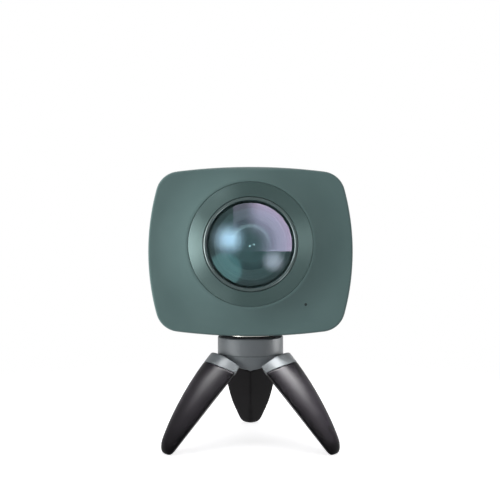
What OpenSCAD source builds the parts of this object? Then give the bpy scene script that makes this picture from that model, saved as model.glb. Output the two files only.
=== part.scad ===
// Pocket 360 degree camera on a folding mini tripod, in millimetres.
// +Z is up, the front lens faces -Y, and the origin is on the ground under the tripod's axis.

/* [Camera body] */
// Width of the body across its bowed sides
body_w = 67.4; // [65:0.2:74]
// Height of the body across its arched top and bottom
body_h = 55.8; // [54:0.2:62]
// Depth of the body between its two flat rims
body_d = 26; // [25:0.5:32]
// Radius of the arched top and bottom
top_arc_r = 195; // [150:5:300]
// Radius of the bowed sides
side_arc_r = 79; // [70:1:120]
// Radius of the four corners
corner_r = 8; // [7:0.5:10]
// Rounding along the front and rear edges, cut off by the flat rim
edge_r = 6; // [5:0.1:6.6]
// Wall of the shells and of the middle band
wall = 1.8; // [1.5:0.1:2.2]
// Width of the middle band from front to rear
band_w = 13; // [12.5:0.5:16]
// Parting line between a shell and the band
seam_gap = 0.12; // [0.05:0.01:0.3]
// Thickness of the lip that holds a shell in the band
lip_t = 0.8; // [0.6:0.1:1]
// How far the lip reaches into the band
lip_len = 2; // [1.5:0.1:2.5]
// Height of the lip's root inside the shell
lip_root = 1.4; // [1:0.1:2]
// Height of the lens axis above the middle of the body
lens_rise = 2.4; // [1.5:0.1:3]

/* [Bell round the lens] */
// Radius where the bell meets the flat rim
bell_foot_r = 29; // [28:0.1:29.2]
// Radius of the bell's top
bell_top_r = 20.9; // [20.7:0.1:22]
// How far the bell rises over the rim
bell_rise = 3; // [2.5:0.1:4]
// Radius of the bell's hollow curve
bell_curve_r = 18; // [16:0.5:24]
// Thickness of the bell's top under the bezel
bell_web = 1.2; // [1:0.1:1.4]
// Width of the bell's wall round the pocket for the lens barrel
bell_wall = 2; // [1.8:0.1:2.6]

/* [Lens trim] */
// Outer radius of the bezel ring
bezel_r = 20.2; // [19:0.1:20.4]
// Depth of the bezel's seat in the bell
bezel_seat = 0.8; // [0.5:0.1:1]
// How far the bezel's outer edge stands over the bell
bezel_outer = 0.1; // [0.05:0.05:0.3]
// How far the bezel's inner edge stands over the bell
bezel_proud = 0.7; // [0.4:0.1:1]
// Chamfer on the bezel's edges
bezel_chamfer = 0.15; // [0.1:0.05:0.25]
// Radius of the lens opening in the shell
opening_r = 15.4; // [15:0.1:15.8]
// Radius of the glass that shows inside the retainer
dome_r = 14; // [13.7:0.1:14.1]
// Height of the retainer's rounded rim over the bell
retainer_proud = 1.1; // [0.9:0.1:1.5]

/* [Lens glass] */
// Radius of curvature of the dome
dome_curve_r = 20.5; // [19:0.5:24]
// Height of the dome over the bell's top
dome_rise = 5.9; // [5.5:0.1:6.2]
// Radius of curvature of the dome's hollow side
dome_hollow_r = 17.5; // [17:0.1:18.5]
// Thickness of the dome at its middle
dome_t = 1.8; // [1.5:0.1:2.2]
// Depth of the dome's seat under the bezel
dome_seat = 1.4; // [1.3:0.1:1.6]
// Thickness of the dome's rim
dome_rim = 1.2; // [1:0.1:1.3]
// Width of the barrel's lip round the dome
dome_lip = 0.75; // [0.65:0.05:0.85]
// Width of the ledge under the dome's rim
dome_ledge = 0.8; // [0.7:0.1:1]
// Radius of the middle element
middle_r = 9.6; // [9:0.1:10]
// Radius of curvature of the middle element
middle_curve_r = 13; // [12:0.5:16]
// Rim thickness of the middle element
middle_rim = 1.4; // [1.1:0.1:1.6]
// Radius of curvature of the middle element's hollow back
middle_hollow_r = 19.2; // [18:0.2:22]
// Depth of the middle element's hollow back
middle_hollow = 1.4; // [1:0.1:1.5]
// Radius of the inner element
inner_r = 5.2; // [4.8:0.1:5.6]
// Radius of curvature of the inner element
inner_curve_r = 8; // [7.5:0.5:12]
// Rim thickness of the inner element
inner_rim = 1.6; // [1.3:0.1:1.9]
// Radius of curvature of the inner element's hollow back
inner_hollow_r = 10.4; // [10:0.2:14]
// Depth of the inner element's hollow back
inner_hollow = 0.5; // [0.3:0.1:0.7]

/* [Lens barrel] */
// Outer radius of the barrel's cup
cup_r = 16.6; // [16.4:0.1:17.5]
// Outer radius of the barrel's foot
barrel_foot_r = 10.8; // [10.4:0.1:11.5]
// Thickness of the cup's floor under the middle element
cup_floor = 1.5; // [1.2:0.1:1.8]
// Width of the ledges under the middle and inner elements
ledge = 1.1; // [0.9:0.1:1.3]
// Radius of the window over the image sensor
window_r = 4.2; // [4.1:0.1:4.4]
// Clear height between the image sensor and the inner element
sensor_gap = 0.8; // [0.6:0.1:1]
// Height of the light baffle
baffle_h = 2.6; // [2.4:0.1:3]
// Tread of the light baffle's steps
baffle_step = 0.5; // [0.4:0.05:0.6]

/* [Electronics] */
// Thickness of the main board
board_t = 1.2; // [1:0.1:1.6]
// Clearance between the main board and a pressed button
board_gap = 0.3; // [0.2:0.05:0.5]
// Height of the connector under a sensor board
connector_h = 1.8; // [1.5:0.1:2.2]
// Width of the connector
connector_w = 9; // [8:0.2:10]
// Depth of the connector
connector_d = 3; // [2.6:0.1:3.4]
// Side of a square sensor board
sensor_board_w = 22; // [21.8:0.2:24]
// Thickness of a sensor board
sensor_board_t = 0.8; // [0.6:0.1:1]
// Width of the image sensor
sensor_w = 6.2; // [5.5:0.1:6.4]
// Height of the image sensor
sensor_h = 4.8; // [4:0.1:5]
// Thickness of the image sensor
sensor_t = 1.2; // [0.8:0.1:1.4]
// Distance of a board screw from the centre of its corner, sideways and upward
screw_out = 1.5; // [1.2:0.1:1.6]
// Radius of the shell's screw posts
post_r = 2.3; // [2:0.1:2.6]
// Radius of the board screws
screw_r = 0.8; // [0.6:0.1:1]
// Radius of the board screws' heads
screw_head_r = 1.7; // [1.5:0.1:2]
// Height of the board screws' heads
screw_head_h = 1; // [0.8:0.1:1.3]
// Depth that the screws reach into the posts
screw_len = 5; // [4:0.5:7]
// Room for the battery to swell towards the side of the body
battery_side = 1.3; // [1:0.1:2]
// Room between the battery's ends and the board screws
battery_end = 2.8; // [2:0.1:4]
// Thickness of the battery
battery_t = 8.6; // [7:0.1:9]
// Clearance between the battery and the lens barrels
battery_gap = 0.8; // [0.5:0.1:1]
// Side of the square processor shield
shield_w = 10; // [8:0.5:11]
// Height of the processor shield
shield_h = 2; // [1.5:0.1:2.4]
// Radius of the microphone's capsule
mic_r = 2; // [1.6:0.1:2.3]
// Thickness of the microphone's capsule
mic_t = 1.5; // [1.2:0.1:2]
// Radius of the microphone hole
mic_hole_r = 0.45; // [0.3:0.05:0.7]
// Sideways place of the microphone hole
mic_x = 18; // [17:0.2:18.6]
// Distance of the microphone hole below the lens axis
mic_drop = 19.6; // [19:0.2:20]

/* [Ports] */
// Height of the USB socket above the middle of the body
usb_y = -9; // [-10:0.2:-7]
// Width of the USB socket
usb_w = 7.6; // [7.4:0.1:8]
// Thickness of the USB socket
usb_t = 2.8; // [2.6:0.1:3]
// Length of the USB socket
usb_len = 5.6; // [5:0.1:6]
// Sheet thickness of the USB socket
usb_sheet = 0.35; // [0.25:0.05:0.4]
// Width of the contact tongue in the USB socket
usb_tongue_w = 4; // [3.4:0.1:4.6]
// Thickness of the contact tongue
usb_tongue_t = 0.6; // [0.4:0.05:0.7]
// How far the contact tongue lies behind the mouth
usb_tongue_in = 1.4; // [1:0.1:2]
// Height of the card socket above the middle of the body
card_y = 8; // [6:0.2:9]
// Width of the card socket
card_w = 12.4; // [12:0.1:13]
// Thickness of the card socket
card_t = 1.9; // [1.7:0.1:2.2]
// Length of the card socket
card_len = 14; // [12:0.2:14.5]
// Width of the card slot
card_slot_w = 11.2; // [11:0.1:11.4]
// Height of the card slot
card_slot_t = 0.9; // [0.8:0.05:1]
// Thickness of the card socket's back
card_back = 1.8; // [1.5:0.1:2.2]
// How far the ports' mouths lie inside the body's side
port_set_back = 0.6; // [0.4:0.1:1]
// Clearance round the ports in the band
port_gap = 0.25; // [0.15:0.05:0.3]

/* [Buttons] */
// How far the buttons stand over the body
button_proud = 0.5; // [0.4:0.05:0.8]
// Travel of the buttons
button_travel = 0.4; // [0.25:0.05:0.5]
// Clearance round the buttons
button_gap = 0.2; // [0.1:0.05:0.3]
// Rim of a button's flange inside the band
button_rim = 0.8; // [0.6:0.1:1]
// Thickness of a button's flange
button_flange = 0.8; // [0.6:0.1:1]
// Radius of the round shutter button
shutter_r = 4; // [3.5:0.1:4.4]
// Length of the side buttons
side_button_len = 9; // [8:0.2:10]
// Width of the side buttons
side_button_w = 4.2; // [3.6:0.1:4.8]
// Distance of the side buttons from the middle of the body
side_button_y = 8.5; // [7.5:0.1:9.5]
// Play between a button's flange and the band
flange_play = 0.15; // [0.1:0.05:0.3]
// Width of a button's stem
stem_w = 2; // [1.6:0.1:2.4]
// Thickness of a button's stem
stem_t = 1; // [0.8:0.1:1.2]
// Length of a button's stem
stem_len = 0.8; // [0.6:0.1:1.2]
// Play left between a pressed button's stem and its switch
switch_play = 0.12; // [0.08:0.02:0.3]
// Width of a switch
switch_w = 4; // [3.6:0.1:4.4]
// Depth of a switch
switch_deep = 2.6; // [2.2:0.1:3]
// Height of a switch
switch_h = 1.6; // [1.5:0.1:2]
// Radius of the status light
light_r = 0.9; // [0.6:0.1:1.1]
// Sideways place of the status light
light_x = 13; // [12:0.2:15]

/* [Tripod bush] */
// Radius of the bush's flange
flange_r = 9.6; // [9:0.1:9.8]
// Thickness of the flange
flange_t = 0.8; // [0.7:0.05:1]
// How far the flange stands under the body
flange_drop = 0.5; // [0.3:0.05:0.6]
// Radius of the bush's body
bush_r = 5; // [4.6:0.1:5.4]
// Height of the bush over the flange
bush_h = 7.5; // [7:0.1:8.2]
// Thickness of the bush's closed end
bush_cap = 1; // [0.8:0.1:1.2]
// Wall of the band's boss round the bush
boss_wall = 1; // [0.8:0.1:1.4]
// Clearance of the main board round the boss
boss_gap = 1; // [0.5:0.1:1.5]
// Radius of the threaded hole, for a quarter inch screw
thread_r = 3.175; // [3.175:0.005:3.2]

/* [Tripod hub] */
// Radius of the neck
neck_r = 11.2; // [10.9:0.1:12]
// Height of the neck
neck_h = 5.75; // [5.4:0.05:7]
// Wall of the neck's sleeve
neck_wall = 1.15; // [0.9:0.05:1.4]
// How far the neck's rim hangs under the hinge axes
neck_drop = 1.05; // [0.9:0.05:1.15]
// Bevel on the neck's upper edge
neck_bevel = 0.45; // [0.2:0.05:0.7]
// Thickness of the rubber pad
pad_t = 0.5; // [0.4:0.05:0.8]
// Radius of the rubber pad
pad_r = 10.3; // [9.8:0.1:10.6]
// Radius of the screw's shank inside the hub
shank_r = 2.2; // [1.9:0.1:2.4]
// Radius of the screw's collar
collar_r = 5.2; // [4.5:0.1:6]
// Thickness of the screw's collar
collar_t = 0.8; // [0.6:0.05:1]
// Length of the screw over the pad
stud_len = 5.6; // [5:0.1:6]

/* [Tripod legs] */
// Spread of each leg from the upright
leg_spread = 44; // [40:0.5:47]
// Length of each leg
leg_len = 36.7; // [34:0.1:42]
// Radius of the round handle that the closed legs make
leg_r = 11.2; // [10.8:0.1:11.6]
// Radius of the legs' long outer curve
leg_curve_r = 104; // [95:1:130]
// Length of the leg's collar on its outer side
root_h = 4; // [3.8:0.1:4.6]
// Slant of the collar's lower edge
root_slant = 16; // [12:1:17]
// Rounding of each foot's inner edge
foot_r = 3.5; // [3:0.1:3.6]
// Depth of the flat worn on each foot
foot_flat = 0.35; // [0.25:0.05:0.5]
// Distance of the hinge pins from the tripod's axis
hinge_r = 5.8; // [5.7:0.05:5.9]
// Height of the hinge pins over the closed legs' tops
hinge_rise = 5.6; // [5.5:0.05:6]
// Radius of the hinge pins
pin_r = 0.9; // [0.7:0.05:1]
// Reach of a hinge pin from its knuckle's middle to its blind end
pin_hold = 4.8; // [4.5:0.1:5.2]
// Radius of the hinge knuckle on each leg
knuckle_r = 2; // [1.8:0.05:2.05]
// Width of the hinge knuckle
knuckle_w = 4.4; // [4:0.1:5]
// Radius of the peg that holds the grip on the collar
peg_r = 2.4; // [2:0.1:2.6]
// Length of the peg
peg_len = 14; // [10:0.5:16]
// Distance of the peg from the leg's inner edge
peg_x = 6; // [5.8:0.1:6.2]

/* [Clearances] */
// Between pieces that are glued, pressed or soldered in their seats
seat_gap = 0.05; // [0.03:0.01:0.08]
// Radial clearance of the hinge pins in the hub that holds them
press_gap = 0.02; // [0.01:0.01:0.03]
// Radial running clearance of the legs on their pins and of the tripod screw
run_gap = 0.04; // [0.02:0.01:0.06]
// Between the folding legs and what they pass
swing_gap = 0.3; // [0.25:0.05:0.4]
// Half of the gap between two closed legs
leg_gap = 0.25; // [0.2:0.05:0.35]
// Under the camera's flange, so that it turns on the pad
turn_gap = 0.05; // [0.03:0.01:0.1]

/* [Hidden] */
$fn = 72;
// Facets of the large arcs
ARC_FN = 360;
// Reach of a cutting shape, beyond any size of the part
REACH = 90;
// Overlap of a cut past the face that it opens
EPS = 0.5;
// Height of a cut that goes through a wall of the body
THROUGH = 4 * wall;

// Directions of the legs round the tripod's axis
RIGHT_AZ = -30;
LEFT_AZ = 210;
REAR_AZ = 90;
LEG_AZ = [RIGHT_AZ, LEFT_AZ, REAR_AZ];

// Axis of a foot's rounding, out from the leg's inner edge and down from its top. It is set out and lifted,
// so that the rounding crosses the edge and the handle's tip at an angle
FOOT_SET = 0.2;
FOOT_LIFT = 0.9;
foot_x = foot_r + FOOT_SET;
foot_z = leg_len - FOOT_LIFT - foot_r;

// Heights above the ground, from the feet to the camera
foot_drop = (hinge_r - foot_x) * sin(leg_spread) + (hinge_rise + foot_z) * cos(leg_spread) + foot_r;
hinge_z = foot_drop - foot_flat;
neck_z = hinge_z - neck_drop;
neck_top = neck_z + neck_h;
pad_top = neck_top + pad_t;
flange_z = pad_top + turn_gap;
body_z = flange_z + flange_drop + body_h / 2;
core_r = neck_r - neck_wall - seat_gap;

// Outline of the body: centres of its arcs. A corner arc is set out from tangency, so that it crosses
// the long arcs at a slight angle
CORNER_SET = 0.04;
// How far the edge's rounding would run on above the bell, and how much of it the corners are cut by
EDGE_LIFT = 0.6;
CUT_SHARE = 0.8;
half_w = body_w / 2;
half_h = body_h / 2;
top_c = [0, half_h - top_arc_r];
side_c = [half_w - side_arc_r, 0];
tangent_c = upper_crossing(top_c, top_arc_r - corner_r, side_c, side_arc_r - corner_r);
corner_c = tangent_c + CORNER_SET * [cos(45), sin(45)];
top_turn = bearing(top_c, tangent_c);
side_turn = bearing(side_c, tangent_c);
turn = top_turn - side_turn;
// Sign of x and y in each corner, and the direction where its arc starts
CORNERS = [[1, 1, side_turn], [-1, 1, 180 - top_turn], [-1, -1, 180 + side_turn], [1, -1, -top_turn]];

// Depths from the middle of the body towards a lens
flat_d = body_d / 2;
bell_top_d = flat_d + bell_rise;
seam_d = band_w / 2 + seam_gap;
inner_d = flat_d - wall;
board_d = board_t / 2;
sensor_board_d = board_d + connector_h;
foot_d = sensor_board_d + sensor_board_t;
bezel_d = bell_top_d - bezel_seat;
pocket_d = bezel_d - bell_web;
pocket_r = bell_top_r - bell_wall;
bell_c = lower_center([bell_foot_r, flat_d], [bell_top_r, bell_top_d], bell_curve_r);
edge_c_d = bell_top_d - edge_r + EDGE_LIFT;
flange_top = flange_t - flange_drop;
boss_r = bush_r + boss_wall;

// Lens stack, from the dome's seat inwards
glass_seat_d = bezel_d - dome_seat;
glass_rim_r = opening_r - dome_lip;
retainer_d = glass_seat_d + dome_rim;
retainer_r = opening_r - seat_gap;
baffle_r = dome_r - dome_ledge;
middle_d = glass_seat_d - baffle_h - middle_rim;
inner_seat_d = foot_d + sensor_t + sensor_gap;
cup_d = middle_d - cup_floor;

// Buttons, switches and what the main board carries
stem_d = board_d + seat_gap + switch_h / 2;
flange_in = wall + flange_play + button_flange;
switch_in = flange_in + stem_len + button_travel + switch_play;
board_inset = flange_in + button_travel + board_gap;
port_x = half_w - port_set_back;
screw_c = corner_c + [screw_out, screw_out];
battery_x = cup_r + battery_gap;
battery_h = 2 * (screw_c.y - screw_head_r - battery_end);
battery_w = side_x(battery_h / 2) - wall - lip_t - battery_side - battery_x;

// Hinge pins end flush with the hub's side
pin_end = sqrt(pow(core_r, 2) - pow(hinge_r + pin_r, 2));
pin_len = pin_hold + pin_end;

function bearing(from, to) = atan2(to.y - from.y, to.x - from.x);

function polar(r, angle) = r * [cos(angle), sin(angle)];

// The crossing of two circles that lies to the upper right
function upper_crossing(c1, r1, c2, r2) =
    let (gap = norm(c2 - c1))
    let (along = (r1 * r1 - r2 * r2 + gap * gap) / (2 * gap))
    let (off = sqrt(r1 * r1 - along * along))
    let (u = (c2 - c1) / gap)
    let (side = [-u.y, u.x])
    let (p = c1 + u * along + side * off)
    let (q = c1 + u * along - side * off)
    p.x + p.y > q.x + q.y ? p : q;

// Centre of the circle of radius r through two points, on the upper right side
function lower_center(p, q, r) =
    let (half = norm(q - p) / 2)
    let (u = (q - p) / (2 * half))
    (p + q) / 2 + [u.y, -u.x] * sqrt(r * r - half * half);

// Frames

// Local x to the right, y up and z to the front, from the middle of the body
module camera_frame() {
    translate([0, 0, body_z]) rotate([90, 0, 0]) children();
}

// The same frame moved to the front lens's axis
module front_lens_frame() {
    camera_frame() translate([0, lens_rise, 0]) children();
}

module rear_lens_frame() {
    rotate([0, 0, 180]) front_lens_frame() children();
}

// A leg's own frame when closed: its inner edge on the tripod's axis, its top at z = 0,
// moved to the leg's open place
module leg_frame(az) {
    rotate([0, 0, az])
        translate([hinge_r, 0, hinge_z])
        rotate([0, -leg_spread, 0])
        translate([-hinge_r, 0, -hinge_rise])
        children();
}

// Body outline

// Pillow outline of the body, drawn in by inset
module outline(inset = 0) {
    near = (corner_r - inset) / 2;
    far = 3 * corner_r;
    difference() {
        intersection() {
            translate(top_c) circle(top_arc_r - inset, $fn = ARC_FN);
            translate(-top_c) circle(top_arc_r - inset, $fn = ARC_FN);
            translate(side_c) circle(side_arc_r - inset, $fn = ARC_FN);
            translate(-side_c) circle(side_arc_r - inset, $fn = ARC_FN);
        }
        at_corners() difference() {
            polygon([polar(near, 0), polar(far, 0), polar(far, turn), polar(near, turn)]);
            circle(corner_r - inset);
        }
    }
}

// The centre of each corner's arc, turned to where the arc starts
module at_corners() {
    for (corner = CORNERS)
        translate([corner.x * corner_c.x, corner.y * corner_c.y]) rotate([0, 0, corner.z]) children();
}

// Half section of a disc with a rounded upper edge, from the seam up
module rim_section(radius) {
    translate([0, seam_d]) square([radius, edge_c_d - seam_d]);
    translate([0, edge_c_d]) square([radius - edge_r, edge_r]);
    translate([radius - edge_r, edge_c_d]) intersection() {
        circle(edge_r);
        square(edge_r);
    }
}

module rounded_disc(center, radius) {
    translate(center) rotate_extrude($fn = ARC_FN) rim_section(radius);
}

// Block of the body's outline with its rounded front edge, before the bell is formed
module rounded_block() {
    near = corner_r - CUT_SHARE * edge_r;
    difference() {
        intersection() {
            rounded_disc(top_c, top_arc_r);
            rounded_disc(-top_c, top_arc_r);
            rounded_disc(side_c, side_arc_r);
            rounded_disc(-side_c, side_arc_r);
        }
        at_corners() rotate_extrude(angle = turn, $fn = ARC_FN) difference() {
            translate([near, seam_d - EPS]) square([2 * corner_r, edge_c_d + edge_r - seam_d + 2 * EPS]);
            translate([0, -EPS]) square([corner_r, seam_d + 2 * EPS]);
            rim_section(corner_r);
        }
    }
}

// Everything under the flat rim and the bell's hollow curve, turned round the lens axis
module bell_form() {
    translate([0, lens_rise, 0]) rotate_extrude($fn = ARC_FN) union() {
        square([REACH, flat_d]);
        difference() {
            square([bell_foot_r, bell_top_d]);
            translate(bell_c) circle(bell_curve_r, $fn = ARC_FN);
        }
    }
}

// Shells and band

// Half of the housing with its bell, lip and lens opening
module shell_half() {
    difference() {
        union() {
            intersection() {
                rounded_block();
                bell_form();
            }
            translate([0, 0, seam_d - lip_len]) linear_extrude(lip_len + EPS) outline(wall + seat_gap);
        }
        translate([0, 0, seam_d + lip_root]) linear_extrude(inner_d - seam_d - lip_root) outline(wall);
        translate([0, 0, seam_d - lip_len - EPS])
            linear_extrude(lip_len + lip_root + 2 * EPS) outline(wall + lip_t);
        bottom_frame() cylinder(r = boss_r + seat_gap, h = THROUGH);
        top_frame() cylinder(r = shutter_r + button_rim + board_gap, h = THROUGH, center = true);
        translate([0, lens_rise, 0]) {
            translate([0, 0, inner_d - EPS]) cylinder(r = pocket_r, h = pocket_d - inner_d + EPS);
            cylinder(r = opening_r, h = REACH);
            translate([0, 0, bezel_d]) cylinder(r = bezel_r + seat_gap, h = REACH);
        }
        bush_recess();
    }
}

module front_shell() {
    color("#566868") camera_frame() difference() {
        union() {
            shell_half();
            at_screws() translate([0, 0, board_d]) cylinder(r = post_r, h = inner_d - board_d + EPS);
        }
        at_screws() translate([0, 0, board_d - EPS]) cylinder(r = screw_r, h = screw_len + EPS);
        translate([mic_x, lens_rise - mic_drop, inner_d - EPS]) cylinder(r = mic_hole_r, h = REACH);
    }
}

module rear_shell() {
    color("#566868") rotate([0, 0, 180]) camera_frame() shell_half();
}

// The places of the four board screws, in the camera's frame
module at_screws() {
    for (sx = [-1, 1], sy = [-1, 1]) translate([sx * screw_c.x, sy * screw_c.y, 0]) children();
}

// Place of the bush: z up, from the lowest point of the body
module bottom_frame() {
    translate([0, -half_h, 0]) rotate([-90, 0, 0]) children();
}

// Space for the bush's flange under the body, in the camera's frame
module bush_recess() {
    bottom_frame() translate([0, 0, -EPS]) cylinder(r = flange_r + seat_gap, h = flange_top + EPS);
}

module mid_band() {
    color("#4c5d5d") camera_frame() difference() {
        union() {
            translate([0, 0, -band_w / 2]) linear_extrude(band_w) difference() {
                outline();
                outline(wall);
            }
            bottom_frame() translate([0, 0, wall / 2])
                cylinder(r = boss_r, h = bush_h + flange_top - wall / 2);
        }
        bush_recess();
        bottom_frame() cylinder(r = bush_r + seat_gap, h = bush_h + flange_top + EPS);
        top_frame() cylinder(r = shutter_r + button_gap, h = THROUGH, center = true);
        translate([light_x, half_h, 0]) rotate([90, 0, 0])
            cylinder(r = light_r + seat_gap, h = THROUGH, center = true);
        for (s = [-1, 1]) side_frame(s * side_button_y)
            stadium(side_button_len + 2 * button_gap, side_button_w + 2 * button_gap, THROUGH);
        translate([-half_w, usb_y, board_d + seat_gap + usb_t / 2])
            cube([THROUGH, usb_w + 2 * port_gap, usb_t + 2 * port_gap], center = true);
        translate([-half_w, card_y, board_d + seat_gap + card_t / 2])
            cube([THROUGH, card_w + 2 * port_gap, card_t + 2 * port_gap], center = true);
    }
}

// Lens units

module ring_section(points) {
    rotate_extrude($fn = 180) polygon(points);
}

// Trim ring with a slightly coned face
module lens_bezel() {
    color("#7d9190") ring_section([
        [opening_r, bezel_d + seat_gap], [bezel_r, bezel_d + seat_gap],
        [bezel_r, bell_top_d + bezel_outer - bezel_chamfer],
        [bezel_r - bezel_chamfer, bell_top_d + bezel_outer],
        [opening_r + bezel_chamfer, bell_top_d + bezel_proud],
        [opening_r, bell_top_d + bezel_proud - bezel_chamfer]]);
}

// Ring with a rounded rim that holds the dome by its edge
module lens_retainer() {
    rim = (retainer_r - dome_r - seat_gap) / 2;
    color("#1c2526") rotate_extrude($fn = 180) union() {
        translate([dome_r + seat_gap, retainer_d + seat_gap])
            square([2 * rim, bell_top_d + retainer_proud - rim - retainer_d - seat_gap]);
        translate([dome_r + seat_gap + rim, bell_top_d + retainer_proud - rim]) circle(rim);
    }
}

// Outer fisheye element: a thin dome on a flat rim
module dome_lens() {
    apex = bell_top_d + dome_rise;
    color("#7f95a5", 0.5) rotate_extrude($fn = 180) difference() {
        union() {
            intersection() {
                translate([0, apex - dome_curve_r]) circle(dome_curve_r, $fn = ARC_FN);
                translate([0, glass_seat_d]) square([dome_r, apex]);
            }
            translate([0, glass_seat_d]) square([glass_rim_r - seat_gap, dome_rim]);
        }
        translate([0, apex - dome_t - dome_hollow_r]) circle(dome_hollow_r, $fn = ARC_FN);
        translate([-REACH, -REACH]) square([REACH, 2 * REACH]);
    }
}

// Black cone behind the dome, with two light-trap steps
module lens_baffle() {
    top = glass_seat_d - seat_gap;
    low = middle_d + middle_rim + seat_gap;
    mid = (top + low) / 2;
    edge = baffle_r - seat_gap;
    foot = middle_r - ledge;
    slope = (edge - foot - 3 * baffle_step) / 3;
    upper = edge - baffle_step - slope;
    lower = foot + baffle_step + slope;
    color("#101314") ring_section([
        [foot, low], [edge, low], [edge, top], [edge - baffle_step, top],
        [upper, mid + baffle_step], [upper - baffle_step, mid + baffle_step],
        [lower, mid - baffle_step], [lower - baffle_step, mid - baffle_step],
        [foot, low + baffle_step]]);
}

// Thick element: a cap on a rim, with a hollow back
module element(radius, curve_r, rim, seat, hollow_r, hollow) {
    edge = radius - seat_gap;
    face_r = radius - ledge;
    apex = seat + rim + curve_r - sqrt(curve_r * curve_r - face_r * face_r);
    rotate_extrude($fn = 180) difference() {
        union() {
            translate([0, seat]) square([edge, rim]);
            intersection() {
                translate([0, apex - curve_r]) circle(curve_r, $fn = 180);
                translate([0, seat + rim / 2]) square([face_r, 2 * curve_r]);
            }
        }
        translate([0, seat + hollow - hollow_r]) circle(hollow_r, $fn = 180);
        translate([-REACH, -REACH]) square([REACH, 2 * REACH]);
    }
}

module middle_lens() {
    seat = middle_d + seat_gap;
    color("#52406b", 0.7)
        element(middle_r, middle_curve_r, middle_rim, seat, middle_hollow_r, middle_hollow);
}

module inner_lens() {
    seat = inner_seat_d + seat_gap;
    color("#3f6a6a", 0.7)
        element(inner_r, inner_curve_r, inner_rim, seat, inner_hollow_r, inner_hollow);
}

// Stepped tube that carries the glass over the sensor
module lens_barrel() {
    color("#15191a") rotate_extrude($fn = 180) polygon([
        [window_r, foot_d + seat_gap], [barrel_foot_r, foot_d + seat_gap], [barrel_foot_r, cup_d],
        [cup_r, cup_d], [cup_r, pocket_d - seat_gap], [retainer_r, pocket_d - seat_gap],
        [retainer_r, retainer_d], [glass_rim_r, retainer_d], [glass_rim_r, glass_seat_d - seat_gap],
        [baffle_r, glass_seat_d - seat_gap], [baffle_r, middle_d + middle_rim],
        [middle_r, middle_d + middle_rim], [middle_r, middle_d], [middle_r - ledge, middle_d],
        [inner_r, inner_seat_d + inner_rim + ledge], [inner_r, inner_seat_d],
        [window_r, inner_seat_d]]);
}

module image_sensor() {
    color("#22303c") translate([0, 0, foot_d + seat_gap + sensor_t / 2])
        cube([sensor_w, sensor_h, sensor_t], center = true);
}

// Square board with the connector that plugs into the main board
module sensor_board() {
    color("#1f4f3a") union() {
        translate([0, 0, sensor_board_d + sensor_board_t / 2])
            cube([sensor_board_w, sensor_board_w, sensor_board_t], center = true);
        translate([0, -sensor_board_w / 4, board_d + seat_gap + connector_h / 2])
            cube([connector_w, connector_d, connector_h], center = true);
    }
}

module front_lens_bezel() { front_lens_frame() lens_bezel(); }
module rear_lens_bezel() { rear_lens_frame() lens_bezel(); }
module front_lens_retainer() { front_lens_frame() lens_retainer(); }
module rear_lens_retainer() { rear_lens_frame() lens_retainer(); }
module front_dome_lens() { front_lens_frame() dome_lens(); }
module rear_dome_lens() { rear_lens_frame() dome_lens(); }
module front_lens_baffle() { front_lens_frame() lens_baffle(); }
module rear_lens_baffle() { rear_lens_frame() lens_baffle(); }
module front_middle_lens() { front_lens_frame() middle_lens(); }
module rear_middle_lens() { rear_lens_frame() middle_lens(); }
module front_inner_lens() { front_lens_frame() inner_lens(); }
module rear_inner_lens() { rear_lens_frame() inner_lens(); }
module front_lens_barrel() { front_lens_frame() lens_barrel(); }
module rear_lens_barrel() { rear_lens_frame() lens_barrel(); }
module front_image_sensor() { front_lens_frame() image_sensor(); }
module rear_image_sensor() { rear_lens_frame() image_sensor(); }
module front_sensor_board() { front_lens_frame() sensor_board(); }
module rear_sensor_board() { rear_lens_frame() sensor_board(); }

// Electronics

module main_board() {
    notch_w = 2 * (boss_r + boss_gap);
    notch_h = bush_h + flange_top + boss_gap;
    color("#24543f") camera_frame() difference() {
        translate([0, 0, -board_d]) linear_extrude(board_t) outline(board_inset);
        translate([-notch_w / 2, -half_h, -board_t]) cube([notch_w, notch_h, 2 * board_t]);
        at_screws() cylinder(r = screw_r + seat_gap, h = 2 * board_t, center = true);
    }
}

module board_screws() {
    head_d = -board_d - seat_gap;
    color("silver") camera_frame() at_screws() {
        translate([0, 0, head_d - screw_head_h]) cylinder(r = screw_head_r, h = screw_head_h);
        translate([0, 0, head_d - screw_head_h / 2])
            cylinder(r = screw_r - seat_gap, h = screw_len + board_t);
    }
}

module processor_shield() {
    color("#b9bdbd") camera_frame()
        translate([half_w / 2 + shield_w / 2, 0, board_d + seat_gap + shield_h / 2])
        cube([shield_w, shield_w, shield_h], center = true);
}

module battery() {
    color("#2f5d8c") camera_frame()
        translate([-battery_x - battery_w, -battery_h / 2, -board_d - seat_gap - battery_t])
        cube([battery_w, battery_h, battery_t]);
}

// Folded metal mouth with its contact tongue
module usb_socket() {
    color("silver") camera_frame() translate([-port_x, usb_y, board_d + seat_gap]) union() {
        difference() {
            translate([0, -usb_w / 2, 0]) cube([usb_len, usb_w, usb_t]);
            translate([-EPS, -usb_w / 2 + usb_sheet, usb_sheet])
                cube([usb_len + EPS - usb_sheet, usb_w - 2 * usb_sheet, usb_t - 2 * usb_sheet]);
        }
        translate([usb_tongue_in, -usb_tongue_w / 2, usb_t / 2 - usb_tongue_t / 2])
            cube([usb_len - usb_tongue_in - usb_sheet / 2, usb_tongue_w, usb_tongue_t]);
    }
}

module card_socket() {
    color("#a9adad") camera_frame() translate([-port_x, card_y, board_d + seat_gap]) difference() {
        translate([0, -card_w / 2, 0]) cube([card_len, card_w, card_t]);
        translate([-EPS, -card_slot_w / 2, (card_t - card_slot_t) / 2])
            cube([card_len - card_back + EPS, card_slot_w, card_slot_t]);
    }
}

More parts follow.
